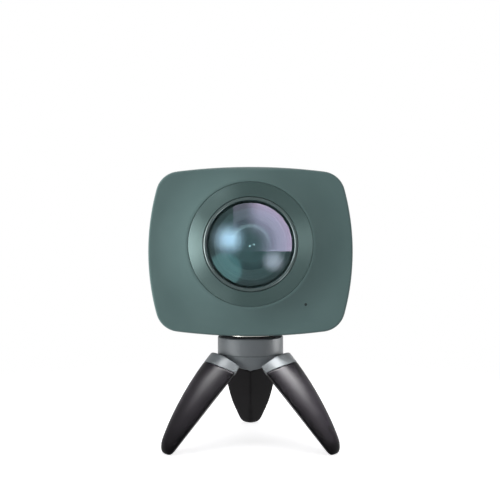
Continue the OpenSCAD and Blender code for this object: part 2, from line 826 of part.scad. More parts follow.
// Place of the shutter button: z out through the top, from the middle of the band
module top_frame() {
    translate([0, half_h, 0]) rotate([-90, 0, 0]) children();
}

// Place of a side button: z out through the right side, at height y
module side_frame(y) {
    translate([side_x(y), y, 0]) rotate([0, 90, 0]) rotate([0, 0, -90]) children();
}

// Half width of the body at height y
function side_x(y) = side_c.x + sqrt(side_arc_r * side_arc_r - y * y);

// Height of the body's top at x, drawn in by inset
function top_y(x, inset = 0) = top_c.y + sqrt(pow(top_arc_r - inset, 2) - x * x);

// Bar with round ends, centred, its length along local x
module stadium(length, width, height) {
    straight = length - width;
    cube([straight, width, height], center = true);
    for (s = [-1, 1]) translate([s * straight / 2, 0, 0])
        cylinder(r = width / 2, h = height, center = true);
}

// Side-pressed switches on the front of the main board
module button_switches() {
    middle_in = switch_in + switch_deep / 2;
    color("#3a3d40") camera_frame() translate([0, 0, stem_d]) {
        translate([0, half_h - middle_in, 0]) cube([switch_w, switch_deep, switch_h], center = true);
        for (s = [-1, 1]) translate([side_x(side_button_y) - middle_in, s * side_button_y, 0])
            cube([switch_deep, switch_w, switch_h], center = true);
    }
}

// Part of a round wall between two depths under the arc of radius r round center
module wall_slice(center, r, outer, inner) {
    translate([center.x, center.y, -band_w / 2]) linear_extrude(band_w) difference() {
        circle(r - outer, $fn = ARC_FN);
        circle(r - inner, $fn = ARC_FN);
    }
}

// Stem from a button's flange to just short of its switch, with local z outwards
module stem() {
    translate([-stem_w / 2, -stem_d - stem_t / 2, -flange_in - stem_len])
        cube([stem_w, stem_t, stem_len + button_flange / 2]);
}

module shutter_button() {
    color("#c9d2d1") camera_frame() union() {
        intersection() {
            top_frame() cylinder(r = shutter_r, h = 4 * flange_in, center = true);
            wall_slice(top_c, top_arc_r, -button_proud, flange_in - button_flange / 2);
        }
        intersection() {
            top_frame() cylinder(r = shutter_r + button_rim, h = 4 * flange_in, center = true);
            wall_slice(top_c, top_arc_r, wall + flange_play, flange_in);
        }
        top_frame() stem();
    }
}

module side_button(y) {
    rim = 2 * button_rim;
    color("#c9d2d1") camera_frame() union() {
        intersection() {
            side_frame(y) stadium(side_button_len, side_button_w, 4 * flange_in);
            wall_slice(side_c, side_arc_r, -button_proud, flange_in - button_flange / 2);
        }
        intersection() {
            side_frame(y) stadium(side_button_len + rim, side_button_w + rim, 4 * flange_in);
            wall_slice(side_c, side_arc_r, wall + flange_play, flange_in);
        }
        side_frame(y) stem();
    }
}

module power_button() { side_button(side_button_y); }
module mode_button() { side_button(-side_button_y); }

// Clear rod from the board's edge to the top of the band
module status_light_pipe() {
    low = top_y(light_x, board_inset) + board_gap;
    color("#dfe8e4") camera_frame() translate([light_x, low, 0]) rotate([-90, 0, 0])
        cylinder(r = light_r, h = top_y(light_x + light_r) - low);
}

module microphone() {
    color("#55585a") camera_frame()
        translate([mic_x, lens_rise - mic_drop, inner_d - seat_gap - mic_t])
        cylinder(r = mic_r, h = mic_t);
}

// Tripod bush and screw

module tripod_bush() {
    bore_h = bush_h + flange_t - bush_cap;
    color("#c9c2ae") translate([0, 0, flange_z]) difference() {
        union() {
            cylinder(r = flange_r, h = flange_t - seat_gap);
            cylinder(r = bush_r, h = flange_t + bush_h);
        }
        translate([0, 0, -EPS]) cylinder(r = thread_r, h = bore_h + EPS);
    }
}

module tripod_stud() {
    color("silver") union() {
        translate([0, 0, hinge_z - knuckle_r]) cylinder(r = shank_r, h = neck_top - hinge_z + knuckle_r);
        translate([0, 0, neck_top - collar_t]) cylinder(r = collar_r, h = collar_t - seat_gap);
        translate([0, 0, neck_top - collar_t])
            cylinder(r = thread_r - run_gap, h = collar_t + pad_t + stud_len);
    }
}

module top_pad() {
    color("#26282a") translate([0, 0, neck_top]) difference() {
        cylinder(r = pad_r, h = pad_t);
        translate([0, 0, -EPS]) cylinder(r = thread_r + seat_gap, h = pad_t + 2 * EPS);
    }
}

module neck_sleeve() {
    color("#6f7577") ring_section([
        [neck_r - neck_wall, neck_z], [neck_r, neck_z], [neck_r, neck_top - neck_bevel],
        [neck_r - neck_bevel, neck_top], [neck_r - neck_wall, neck_top]]);
}

// Slot and swept space of one hinge knuckle, in the hub
module knuckle_slot(az) {
    slot_w = knuckle_w + 2 * swing_gap;
    slot_r = knuckle_r + swing_gap;
    rotate([0, 0, az]) translate([hinge_r, 0, hinge_z]) {
        rotate([90, 0, 0]) cylinder(r = slot_r, h = slot_w, center = true);
        translate([-slot_r, -slot_w / 2, -REACH]) cube([REACH, slot_w, REACH]);
        rotate([0, -leg_spread, 0]) translate([-slot_r, -slot_w / 2, -REACH])
            cube([2 * slot_r, slot_w, REACH]);
    }
}

// Space that one leg's top passes through as it swings, in steps of half its spread
module leg_sweep(az) {
    rotate([0, 0, az]) translate([hinge_r, 0, hinge_z]) for (step = [0, 0.5, 1])
        rotate([0, -leg_spread * step, 0])
        translate([-REACH, -REACH, -hinge_rise + swing_gap - REACH]) cube([2 * REACH, 2 * REACH, REACH]);
}

// Core inside the neck's sleeve, on a wider foot that continues the neck between the legs
module hub_core() {
    color("#5c6163") difference() {
        translate([0, 0, neck_z - hinge_rise]) union() {
            cylinder(r = core_r, h = neck_h + hinge_rise);
            cylinder(r = neck_r, h = hinge_rise - seat_gap);
        }
        for (az = LEG_AZ) {
            leg_sweep(az);
            knuckle_slot(az);
            pin_place(az) translate([0, 0, -seat_gap])
                cylinder(r = pin_r + press_gap, h = pin_hold + core_r);
        }
        cylinder(r = shank_r + run_gap, h = REACH);
        translate([0, 0, neck_top - collar_t - seat_gap]) cylinder(r = collar_r + seat_gap, h = REACH);
    }
}

// Blind end of a hinge pin, with local z along the pin
module pin_place(az) {
    rotate([0, 0, az]) translate([hinge_r, pin_hold, hinge_z]) rotate([90, 0, 0]) children();
}

module hinge_pins() {
    color("silver") for (az = LEG_AZ) pin_place(az) cylinder(r = pin_r, h = pin_len);
}

// Legs

// Round handle that the three closed legs make: a long curve that ends in a tangent ball
module handle_form() {
    tip_r = (pow(leg_len, 2) - leg_r * (2 * leg_curve_r - leg_r)) / (2 * (leg_len - leg_curve_r));
    tip_z = leg_len - tip_r;
    meet = tip_z * leg_curve_r / (leg_curve_r - tip_r);
    mirror([0, 0, 1]) rotate_extrude($fn = 180) union() {
        intersection() {
            translate([leg_r - leg_curve_r, 0]) circle(leg_curve_r, $fn = ARC_FN);
            square([leg_r + EPS, meet]);
        }
        intersection() {
            translate([0, tip_z]) circle(tip_r, $fn = 180);
            translate([0, meet]) square([leg_r, leg_len]);
        }
    }
}

// One third of the handle, its edges set back from the next leg's and its tip rounded inside
module leg_form() {
    set_back = leg_gap / sin(60);
    side = REACH / 2 * [cos(60), sin(60)];
    difference() {
        intersection() {
            handle_form();
            translate([set_back, 0, -REACH]) linear_extrude(2 * REACH)
                polygon([[0, 0], [side.x, -side.y], [REACH / 2, 0], side]);
        }
        foot_corner();
    }
}

// Corner that the rounding takes off the leg's inner tip
module foot_corner() {
    rotate([90, 0, 0]) linear_extrude(REACH, center = true) difference() {
        translate([foot_x - REACH, -foot_z - REACH]) square(REACH);
        translate([foot_x, -foot_z]) circle(foot_r);
    }
}

// Half space under the collar's slanted lower edge, in the leg's frame
module under_collar(gap = 0) {
    translate([leg_r, 0, -root_h - gap]) rotate([0, root_slant, 0])
        translate([-REACH, -REACH, -2 * REACH]) cube([2 * REACH, 2 * REACH, 2 * REACH]);
}

module leg_root(az) {
    color("#74797c") leg_frame(az) difference() {
        union() {
            difference() {
                leg_form();
                under_collar();
            }
            translate([peg_x, 0, -peg_len]) cylinder(r = peg_r, h = peg_len - EPS);
            translate([hinge_r - knuckle_r, -knuckle_w / 2, -EPS])
                cube([2 * knuckle_r, knuckle_w, hinge_rise + EPS]);
            translate([hinge_r, 0, hinge_rise]) rotate([90, 0, 0])
                cylinder(r = knuckle_r, h = knuckle_w, center = true);
        }
        translate([hinge_r, 0, hinge_rise]) rotate([90, 0, 0])
            cylinder(r = pin_r + run_gap, h = 2 * knuckle_w, center = true);
    }
}

module leg_sleeve(az) {
    color("#16171a") difference() {
        leg_frame(az) difference() {
            intersection() {
                leg_form();
                under_collar(seat_gap);
            }
            translate([peg_x, 0, -peg_len - seat_gap]) cylinder(r = peg_r + seat_gap, h = REACH);
        }
        translate([-REACH, -REACH, -2 * REACH]) cube(2 * REACH);
    }
}

module left_leg_root() { leg_root(LEFT_AZ); }
module right_leg_root() { leg_root(RIGHT_AZ); }
module rear_leg_root() { leg_root(REAR_AZ); }
module left_leg_sleeve() { leg_sleeve(LEFT_AZ); }
module right_leg_sleeve() { leg_sleeve(RIGHT_AZ); }
module rear_leg_sleeve() { leg_sleeve(REAR_AZ); }

front_shell();
rear_shell();
mid_band();
front_lens_bezel();
rear_lens_bezel();
front_lens_retainer();
rear_lens_retainer();
front_dome_lens();
rear_dome_lens();
front_lens_baffle();
rear_lens_baffle();
front_middle_lens();
rear_middle_lens();
front_inner_lens();
rear_inner_lens();
front_lens_barrel();
rear_lens_barrel();
front_image_sensor();
rear_image_sensor();
front_sensor_board();
rear_sensor_board();
main_board();
board_screws();
processor_shield();
battery();
usb_socket();
card_socket();
button_switches();
shutter_button();
power_button();
mode_button();
status_light_pipe();
microphone();
tripod_bush();
tripod_stud();
top_pad();
neck_sleeve();
hub_core();
hinge_pins();
left_leg_root();
right_leg_root();
rear_leg_root();
left_leg_sleeve();
right_leg_sleeve();
rear_leg_sleeve();
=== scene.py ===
# %% [markdown]
# # A 360 degree camera on its folding tripod
#
# The camera's working pieces come in as a fixed frame: every piece has its real size and place there,
# and it moves with a named body. This lesson dresses that frame. Shells, rings and glass are modelled
# again with soft edges and fine curves, and each surface gets a finish of its own.

# %% Load the frame
import math

import bmesh
import bpy
from mathutils import Matrix, Vector
from mathutils.geometry import intersect_sphere_sphere_2d


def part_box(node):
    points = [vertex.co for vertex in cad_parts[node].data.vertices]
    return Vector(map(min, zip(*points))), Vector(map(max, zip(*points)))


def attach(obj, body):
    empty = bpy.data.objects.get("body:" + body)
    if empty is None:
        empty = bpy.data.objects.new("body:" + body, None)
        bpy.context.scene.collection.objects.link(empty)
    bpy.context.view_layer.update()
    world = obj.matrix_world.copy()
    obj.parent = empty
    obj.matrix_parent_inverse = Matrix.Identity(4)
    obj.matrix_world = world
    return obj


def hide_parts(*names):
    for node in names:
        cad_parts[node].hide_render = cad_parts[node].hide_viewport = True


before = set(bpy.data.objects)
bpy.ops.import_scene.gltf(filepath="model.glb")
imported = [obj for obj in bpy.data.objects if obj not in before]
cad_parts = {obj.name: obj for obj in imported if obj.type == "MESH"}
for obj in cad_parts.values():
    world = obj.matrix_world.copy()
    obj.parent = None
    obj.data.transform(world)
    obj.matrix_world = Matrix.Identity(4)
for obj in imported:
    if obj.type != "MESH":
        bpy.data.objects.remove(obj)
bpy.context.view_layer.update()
MM = 0.001

# %% [markdown]
# ## Sizes from the frame
#
# A new piece has to sit where the real one sits, so its main sizes are read from the boxes of the frame's
# nodes. Everything is in millimetres here and becomes metres when a mesh is made.

# %% Measure the frame
def node_box(name):
    low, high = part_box(name)
    return low / MM, high / MM


shell_low, shell_high = node_box("front_shell")
dome_low, dome_high = node_box("front_dome_lens")
bezel_low, bezel_high = node_box("front_lens_bezel")
neck_low, neck_high = node_box("neck_sleeve")
HALF_W = shell_high.x
HALF_H = (shell_high.z - shell_low.z) / 2
BODY_Z = (shell_high.z + shell_low.z) / 2
LENS_Z = (dome_high.z + dome_low.z) / 2
BELL_TOP = -shell_low.y
DOME_APEX = -dome_low.y
BEZEL_R = bezel_high.x
print(f"body {2 * HALF_W:.1f} x {2 * HALF_H:.1f} mm, lens axis at {LENS_Z:.1f} mm,",
      f"dome to {DOME_APEX:.1f} mm")

# %% [markdown]
# ## Tools for making pieces
#
# Most of this object is turned: rings, glass and the neck have a section that goes once round an axis.
# `bmesh.ops.spin` does that from a few vertices. A second helper copies a machined piece of the frame,
# welds its loose triangles and breaks its sharp edges with a small bevel, because no moulded or milled
# edge is perfectly sharp and the bevel is what catches the light.

# %% Make and finish a piece
SMOOTH_ANGLE = math.radians(32)
SHARP_ANGLE = math.radians(30)
FLAT_ANGLE = math.radians(1)
BEVEL_STEPS = 3
WELD = 0.0005 * MM
TURN_STEPS = 192
Y_AXIS = Vector((0, -1, 0))
Z_AXIS = Vector((0, 0, 1))
LENS_POINT = Vector((0, 0, LENS_Z))
HALF_TURN = Matrix.Rotation(math.pi, 4, "Z")


def piece(name, form, body, slot, material, *nodes):
    """Turn a bmesh into a piece that rides on a body and stands for the named nodes."""
    data = bpy.data.meshes.new(name)
    form.to_mesh(data)
    form.free()
    data.shade_smooth()
    data.set_sharp_from_angle(angle=SMOOTH_ANGLE)
    data.materials.append(material)
    made = bpy.data.objects.new(name, data)
    bpy.context.scene.collection.objects.link(made)
    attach(made, body)
    if nodes:
        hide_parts(*nodes)
    return made


def spun(section, point, axis, closed=True):
    """Turn a section of (radius, place along the axis) pairs once round the axis through a point."""
    form = bmesh.new()
    side = Vector((1, 0, 0))
    corners = [form.verts.new((point + side * r + axis * along) * MM) for r, along in section]
    edges = [form.edges.new(pair) for pair in zip(corners, corners[1:])]
    if closed:
        edges.append(form.edges.new((corners[-1], corners[0])))
    bmesh.ops.spin(form, geom=corners + edges, cent=point * MM, axis=axis, angle=math.tau,
                   steps=TURN_STEPS, use_merge=True)
    bmesh.ops.remove_doubles(form, verts=form.verts, dist=WELD)
    bmesh.ops.recalc_face_normals(form, faces=form.faces)
    return form


def break_edges(form, width):
    """Bevel every edge whose faces meet at more than the sharp angle."""
    sharp = [e for e in form.edges if len(e.link_faces) == 2 and e.calc_face_angle() > SHARP_ANGLE]
    bmesh.ops.bevel(form, geom=sharp, offset=width * MM, offset_type="OFFSET", affect="EDGES",
                    segments=BEVEL_STEPS, profile=0.5, material=-1, clamp_overlap=True)


def copied(node, edge_width):
    """A welded copy of a frame node with its sharp edges broken."""
    form = bmesh.new()
    form.from_mesh(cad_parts[node].data)
    bmesh.ops.remove_doubles(form, verts=form.verts, dist=WELD)
    bmesh.ops.dissolve_limit(form, angle_limit=FLAT_ANGLE, verts=form.verts, edges=form.edges)
    break_edges(form, edge_width)
    return form


def even_shading(made):
    """Let broad faces set the shading, so that a bevel doesn't darken the flat next to it."""
    normals = made.modifiers.new("even shading", "WEIGHTED_NORMAL")
    normals.keep_sharp = True


def arc(centre, radius, start, end, count):
    """Points of a circular arc, with angles in degrees."""
    turns = [math.radians(start + (end - start) * i / (count - 1)) for i in range(count)]
    return [(centre[0] + radius * math.cos(t), centre[1] + radius * math.sin(t)) for t in turns]


print("tools ready, a full turn has", TURN_STEPS, "steps")

# %% [markdown]
# ## Finishes that many materials share
#
# Moulded plastic is never quite even: the tool leaves a fine grain and hands leave faint smears. Both are
# made once as node groups with named inputs, and each material places them with its own values. They read
# Object coordinates, so the pattern stays on the piece when it moves.

# %% Node groups for grain and smears
def node_group(name, inputs, outputs):
    """An empty node group with named number inputs and outputs."""
    group = bpy.data.node_groups.new(name, "ShaderNodeTree")
    for label, value in inputs:
        socket = group.interface.new_socket(label, in_out="INPUT", socket_type="NodeSocketFloat")
        socket.default_value = value
    for label in outputs:
        group.interface.new_socket(label, in_out="OUTPUT", socket_type="NodeSocketFloat")
    entry = group.nodes.new("NodeGroupInput")
    leave = group.nodes.new("NodeGroupOutput")
    return group, entry, leave


def noise_node(tree, scale, detail, roughness=0.5):
    noise = tree.nodes.new("ShaderNodeTexNoise")
    noise.inputs["Scale"].default_value = scale
    noise.inputs["Detail"].default_value = detail
    noise.inputs["Roughness"].default_value = roughness
    return noise


def range_node(tree, low, high, to_low, to_high):
    spread = tree.nodes.new("ShaderNodeMapRange")
    values = (("From Min", low), ("From Max", high), ("To Min", to_low), ("To Max", to_high))
    for label, value in values:
        spread.inputs[label].default_value = value
    return spread


def moulded_grain():
    """Fine grain of a moulding tool: a height and a tone that both change over the surface."""
    group, entry, leave = node_group("moulded_grain", [("Scale", 9000)], ["Height", "Tone"])
    place = group.nodes.new("ShaderNodeTexCoord")
    fine = noise_node(group, scale=1, detail=2)
    group.links.new(place.outputs["Object"], fine.inputs["Vector"])
    group.links.new(entry.outputs["Scale"], fine.inputs["Scale"])
    broad = noise_node(group, scale=45, detail=3)
    group.links.new(place.outputs["Object"], broad.inputs["Vector"])
    tone = range_node(group, 0.3, 0.7, 0, 1)
    group.links.new(broad.outputs["Fac"], tone.inputs["Value"])
    group.links.new(fine.outputs["Fac"], leave.inputs["Height"])
    group.links.new(tone.outputs["Result"], leave.inputs["Tone"])
    return group


def handling_smears():
    """Faint smears that make gloss uneven: a roughness value between Low and High."""
    limits = [("Low", 0.3), ("High", 0.4)]
    group, entry, leave = node_group("handling_smears", limits, ["Roughness"])
    place = group.nodes.new("ShaderNodeTexCoord")
    smear = noise_node(group, scale=120, detail=5, roughness=0.62)
    smear.inputs["Distortion"].default_value = 0.8
    group.links.new(place.outputs["Object"], smear.inputs["Vector"])
    spread = range_node(group, 0.35, 0.65, 0, 1)
    group.links.new(smear.outputs["Fac"], spread.inputs["Value"])
    group.links.new(entry.outputs["Low"], spread.inputs["To Min"])
    group.links.new(entry.outputs["High"], spread.inputs["To Max"])
    group.links.new(spread.outputs["Result"], leave.inputs["Roughness"])
    return group


GRAIN = moulded_grain()
SMEARS = handling_smears()
print("node groups:", GRAIN.name, "and", SMEARS.name)

# %% [markdown]
# ## Finishes
#
# A colour is written as it looks on a screen and turned into light with `screen`. A satin finish has two
# close tones mixed by the grain, a roughness from the smears and a very low bump.

# %% Steps that every finish uses
def screen(red, green, blue):
    """Linear colour of a screen colour given in 0 to 255."""
    def linear(value):
        share = value / 255
        return share / 12.92 if share <= 0.04045 else ((share + 0.055) / 1.055) ** 2.4
    return (linear(red), linear(green), linear(blue), 1)


def bare_material(name):
    """A new material, its node tree and its main shader."""
    material = bpy.data.materials.new(name)
    material.use_nodes = True
    shader = material.node_tree.nodes["Principled BSDF"]
    return material, material.node_tree, shader


def add_group(tree, group, **values):
    """Place a node group and set its inputs."""
    node = tree.nodes.new("ShaderNodeGroup")
    node.node_tree = group
    for label, value in values.items():
        node.inputs[label].default_value = value
    return node


def two_tones(tree, shader, share, dark, light):
    """Let the colour go from one screen colour to another."""
    tones = tree.nodes.new("ShaderNodeMix")
    tones.data_type = "RGBA"
    tones.inputs["A"].default_value = screen(*dark)
    tones.inputs["B"].default_value = screen(*light)
    tree.links.new(share, tones.inputs["Factor"])
    tree.links.new(tones.outputs["Result"], shader.inputs["Base Color"])


def uneven_gloss(tree, shader, low, high):
    """Let the smears set the roughness."""
    smears = add_group(tree, SMEARS, Low=low, High=high)
    tree.links.new(smears.outputs["Roughness"], shader.inputs["Roughness"])


def raised(tree, shader, height, strength, rise):
    """Low relief from a height, with its rise in millimetres."""
    relief = tree.nodes.new("ShaderNodeBump")
    relief.inputs["Strength"].default_value = strength
    relief.inputs["Distance"].default_value = rise * MM
    tree.links.new(height, relief.inputs["Height"])
    tree.links.new(relief.outputs["Normal"], shader.inputs["Normal"])


print("every finish has a colour, a gloss and a relief")

# %% Satin finishes
GRAIN_RISE = 0.02


def satin(name, dark, light, rough, grain=9000, bump=0.02, **sockets):
    """Moulded or coated satin surface with two close tones."""
    material, tree, shader = bare_material(name)
    texture = add_group(tree, GRAIN, Scale=grain)
    two_tones(tree, shader, texture.outputs["Tone"], dark, light)
    uneven_gloss(tree, shader, *rough)
    raised(tree, shader, texture.outputs["Height"], bump, GRAIN_RISE)
    for label, value in sockets.items():
        shader.inputs[label.replace("_", " ")].default_value = value
    return material


# Each satin has a dark and a light tone and the limits of its roughness.
FINISH = {
    "shell_plastic": satin("shell_plastic", (83, 104, 103), (89, 110, 109), (0.32, 0.39),
                           Specular_IOR_Level=0.1),
    "band_plastic": satin("band_plastic", (70, 86, 86), (77, 94, 94), (0.4, 0.5),
                          Specular_IOR_Level=0.25),
    "dark_metal": satin("dark_metal", (66, 81, 81), (78, 94, 94), (0.14, 0.2), Metallic=0.5),
    "lens_black": satin("lens_black", (33, 50, 50), (44, 62, 62), (0.45, 0.6)),
    "sensor_chip": satin("sensor_chip", (30, 38, 52), (44, 50, 70), (0.1, 0.16)),
    "circuit_board": satin("circuit_board", (26, 74, 52), (34, 88, 62), (0.3, 0.4), grain=4000),
    "steel": satin("steel", (176, 178, 180), (196, 198, 200), (0.22, 0.32), Metallic=1),
    "battery_wrap": satin("battery_wrap", (40, 84, 128), (50, 96, 142), (0.25, 0.35)),
    "button_plastic": satin("button_plastic", (188, 198, 197), (204, 213, 212), (0.28, 0.36)),
    "bush_brass": satin("bush_brass", (196, 195, 188), (210, 209, 203), (0.25, 0.35), Metallic=1),
    "pad_rubber": satin("pad_rubber", (30, 31, 33), (38, 39, 41), (0.7, 0.85), grain=5000, bump=0.08),
    "neck_grey": satin("neck_grey", (94, 99, 102), (104, 109, 112), (0.34, 0.42),
                       Specular_IOR_Level=0.3),
    "hub_grey": satin("hub_grey", (92, 97, 100), (102, 107, 110), (0.4, 0.5), Specular_IOR_Level=0.3),
    "leg_grip": satin("leg_grip", (7, 6, 8), (11, 9, 12), (0.34, 0.4), grain=6000, bump=0.05,
                      Specular_IOR_Level=0.035),
}
print("satin finishes:", ", ".join(FINISH))

# %% [markdown]
# ## Spun metal
#
# The trim ring round the lens was turned on a lathe. Its tool marks run round the lens, so it shines in
# two fans, left and right, like a disc. Anisotropy on a radial tangent gives the fans, and a noise that
# only depends on the distance from the lens axis gives the marks.

# %% Spun metal
MARK_RISE = 0.01


def axis_distance(tree):
    """Distance of a surface point from the lens axis, in metres."""
    place = tree.nodes.new("ShaderNodeTexCoord")
    flat = tree.nodes.new("ShaderNodeMapping")
    flat.inputs["Location"].default_value = (0, 0, -LENS_Z * MM)
    level = tree.nodes.new("ShaderNodeVectorMath")
    level.operation = "MULTIPLY"
    level.inputs[1].default_value = (1, 0, 1)
    length = tree.nodes.new("ShaderNodeVectorMath")
    length.operation = "LENGTH"
    tree.links.new(place.outputs["Object"], flat.inputs["Vector"])
    tree.links.new(flat.outputs["Vector"], level.inputs[0])
    tree.links.new(level.outputs["Vector"], length.inputs[0])
    return length.outputs["Value"]


def spun_metal():
    """Turned metal with fine marks round the lens axis."""
    material, tree, shader = bare_material("spun_metal")
    marks = noise_node(tree, scale=9000, detail=3, roughness=0.7)
    marks.noise_dimensions = "1D"
    tree.links.new(axis_distance(tree), marks.inputs["W"])
    two_tones(tree, shader, marks.outputs["Fac"], dark=(58, 75, 74), light=(76, 95, 94))
    uneven_gloss(tree, shader, low=0.38, high=0.44)
    raised(tree, shader, marks.outputs["Fac"], strength=0.06, rise=MARK_RISE)
    around = tree.nodes.new("ShaderNodeTangent")
    around.direction_type = "RADIAL"
    around.axis = "Y"
    tree.links.new(around.outputs["Tangent"], shader.inputs["Tangent"])
    shader.inputs["Metallic"].default_value = 0.9
    shader.inputs["Anisotropic"].default_value = 0.9
    shader.inputs["Anisotropic Rotation"].default_value = 0.25
    return material


FINISH["spun_metal"] = spun_metal()
print("spun metal marks run round the axis at", round(LENS_Z, 1), "mm")

# %% [markdown]
# ## Glass
#
# The fisheye is a clear dome over smaller coated elements. All of them are real glass with an index of
# refraction, so the dome magnifies what lies behind it. A coating tints what a surface mirrors, and that
# is the shader's specular tint: pale blue on the dome, green inside.

# %% Glass and clear plastic
GLOSS_SPREAD = 0.02


def glass(name, tint, index, rough, body, level=0.5):
    """Glass with a tint for what it mirrors and a colour for what it lets through."""
    material, tree, shader = bare_material(name)
    if rough:
        uneven_gloss(tree, shader, rough, rough + GLOSS_SPREAD)
    else:
        shader.inputs["Roughness"].default_value = 0
    shader.inputs["Base Color"].default_value = screen(*body)
    shader.inputs["Transmission Weight"].default_value = 1
    shader.inputs["IOR"].default_value = index
    shader.inputs["Specular Tint"].default_value = screen(*tint)
    shader.inputs["Specular IOR Level"].default_value = level
    return material


FINISH["dome_glass"] = glass("dome_glass", (176, 232, 240), 1.5, 0, (220, 231, 231))
FINISH["coated_glass"] = glass("coated_glass", (170, 215, 215), 1.6, 0.02, (130, 150, 155), 0.2)
FINISH["light_pipe"] = glass("light_pipe", (255, 255, 255), 1.45, 0.25, (225, 235, 230))
print("finishes in all:", len(FINISH))

# %% [markdown]
# ## The two shells
#
# Each shell is a pillow with a bell-shaped swelling round the lens. It is made ring by ring: a circle at
# the lens seat is extruded outwards again and again, and each new ring is moved to its place. Every vertex
# keeps its direction from the lens axis, so the rings change from a circle into the pillow outline by
# themselves.

# %% Outline of the pillow
TOP_ARC_R = 195
SIDE_ARC_R = 79
CORNER_R = 8
HALVINGS = 40
TOP_MIDDLE = Vector((0, HALF_H - TOP_ARC_R))
SIDE_MIDDLE = Vector((HALF_W - SIDE_ARC_R, 0))
crossings = intersect_sphere_sphere_2d(TOP_MIDDLE, TOP_ARC_R - CORNER_R,
                                       SIDE_MIDDLE, SIDE_ARC_R - CORNER_R)
CORNER_MIDDLE = max(crossings, key=lambda point: point.x + point.y)
LENS_RISE = LENS_Z - BODY_Z


def bearing(start, end):
    """Direction from one point of the outline's plane to another."""
    return math.atan2(end.y - start.y, end.x - start.x)


SIDE_TURN = bearing(SIDE_MIDDLE, CORNER_MIDDLE)
TOP_TURN = bearing(TOP_MIDDLE, CORNER_MIDDLE)


def depth_inside(x, z):
    """How far a point lies inside the outline, from the middle of the body."""
    point = Vector((abs(x), abs(z)))
    if SIDE_TURN < bearing(CORNER_MIDDLE, point) < TOP_TURN:
        return CORNER_R - (point - CORNER_MIDDLE).length
    return min(TOP_ARC_R - (point - TOP_MIDDLE).length, SIDE_ARC_R - (point - SIDE_MIDDLE).length)


def reach(angle, inset):
    """Distance from the lens axis to the line that lies inset inside the outline."""
    near, far = BEZEL_R, 2 * HALF_W
    for _ in range(HALVINGS):
        middle = (near + far) / 2
        if depth_inside(middle * math.cos(angle), LENS_RISE + middle * math.sin(angle)) > inset:
            near = middle
        else:
            far = middle
    return near


print(f"corner arcs are centred at {CORNER_MIDDLE.x:.2f}, {CORNER_MIDDLE.y:.2f} mm")

# %% Section of a shell
FLAT = 13
BELL_FOOT_R = 31.5
BELL_TOP_R = 20.9
BELL_RISE = BELL_TOP - FLAT
BELL_CURVE_R = ((BELL_FOOT_R - BELL_TOP_R) ** 2 + BELL_RISE ** 2) / (2 * BELL_RISE)
EDGE_R = 6
EDGE_MIDDLE = 10.6
SOFT = 0.6


def bell(radius):
    """Depth of the bell's hollow slope at a distance from the lens axis."""
    if radius >= BELL_FOOT_R:
        return FLAT
    if radius <= BELL_TOP_R:
        return BELL_TOP
    return FLAT + BELL_CURVE_R - math.sqrt(BELL_CURVE_R ** 2 - (BELL_FOOT_R - radius) ** 2)


def edge(inset):
    """Depth of the rounded edge at a distance inside the outline."""
    return EDGE_MIDDLE + math.sqrt(max(0, EDGE_R ** 2 - max(0, EDGE_R - inset) ** 2))


def soft_least(a, b):
    """The lesser of two depths, with their meeting rounded."""
    overlap = max(0, SOFT - abs(a - b)) / SOFT
    return min(a, b) - overlap ** 2 * SOFT / 4


def outer_depth(angle, radius):
    """Depth of the outside in a direction from the lens axis, at a distance from it."""
    inset = depth_inside(radius * math.cos(angle), LENS_RISE + radius * math.sin(angle))
    return soft_least(bell(radius), edge(max(0, inset)))


print(f"the bell falls from {BELL_TOP:.1f} to {FLAT} mm",
      f"between radius {BELL_TOP_R} and {BELL_FOOT_R} mm")

# %% Rings of a shell
SEAM = 6.62
SEAM_ROUND = 0.25
WALL = 1.8
SEAT_GAP = 0.05
SEAT_R = BEZEL_R + SEAT_GAP
SEAT_DEPTH = 0.8
SEAT = BELL_TOP - SEAT_DEPTH
LAND_ROUND = 0.12
RINGS_OVER = 26
EDGE_TURNS = range(44, -1, -4)


def shell_rings():
    """Each ring as a function from direction to (radius, depth), from the lens seat over the outside."""
    def fixed(radius, depth):
        return lambda angle: (radius, depth)

    def across(share, last):
        def place(angle):
            radius = BELL_TOP_R + (reach(angle, last) - BELL_TOP_R) * share
            return radius, outer_depth(angle, radius)
        return place

    def rounded(inset):
        def place(angle):
            radius = reach(angle, inset)
            return radius, outer_depth(angle, radius)
        return place

    def wall(inset, depth):
        return lambda angle: (reach(angle, inset), depth)

    insets = [EDGE_R * (1 - math.cos(math.radians(turn))) for turn in EDGE_TURNS]
    seam_step = SEAM_ROUND / 3
    seat = [fixed(SEAT_R, SEAT), fixed(SEAT_R, BELL_TOP - LAND_ROUND),
            fixed(SEAT_R + LAND_ROUND, BELL_TOP)]
    front = [across(step / RINGS_OVER, insets[0]) for step in range(RINGS_OVER)]
    corner = [rounded(inset) for inset in insets]
    seam = [wall(0, SEAM + SEAM_ROUND), wall(seam_step, SEAM + seam_step), wall(SEAM_ROUND, SEAM)]
    inside = [wall(WALL, SEAM), wall(WALL, EDGE_MIDDLE), fixed(BELL_TOP_R, FLAT - WALL),
              fixed(SEAT_R, FLAT)]
    return seat + front + corner + seam + inside


SHELL_RINGS = shell_rings()
print("a shell grows over", len(SHELL_RINGS), "rings")

# %% Grow a shell
SHELL_STEPS = 240


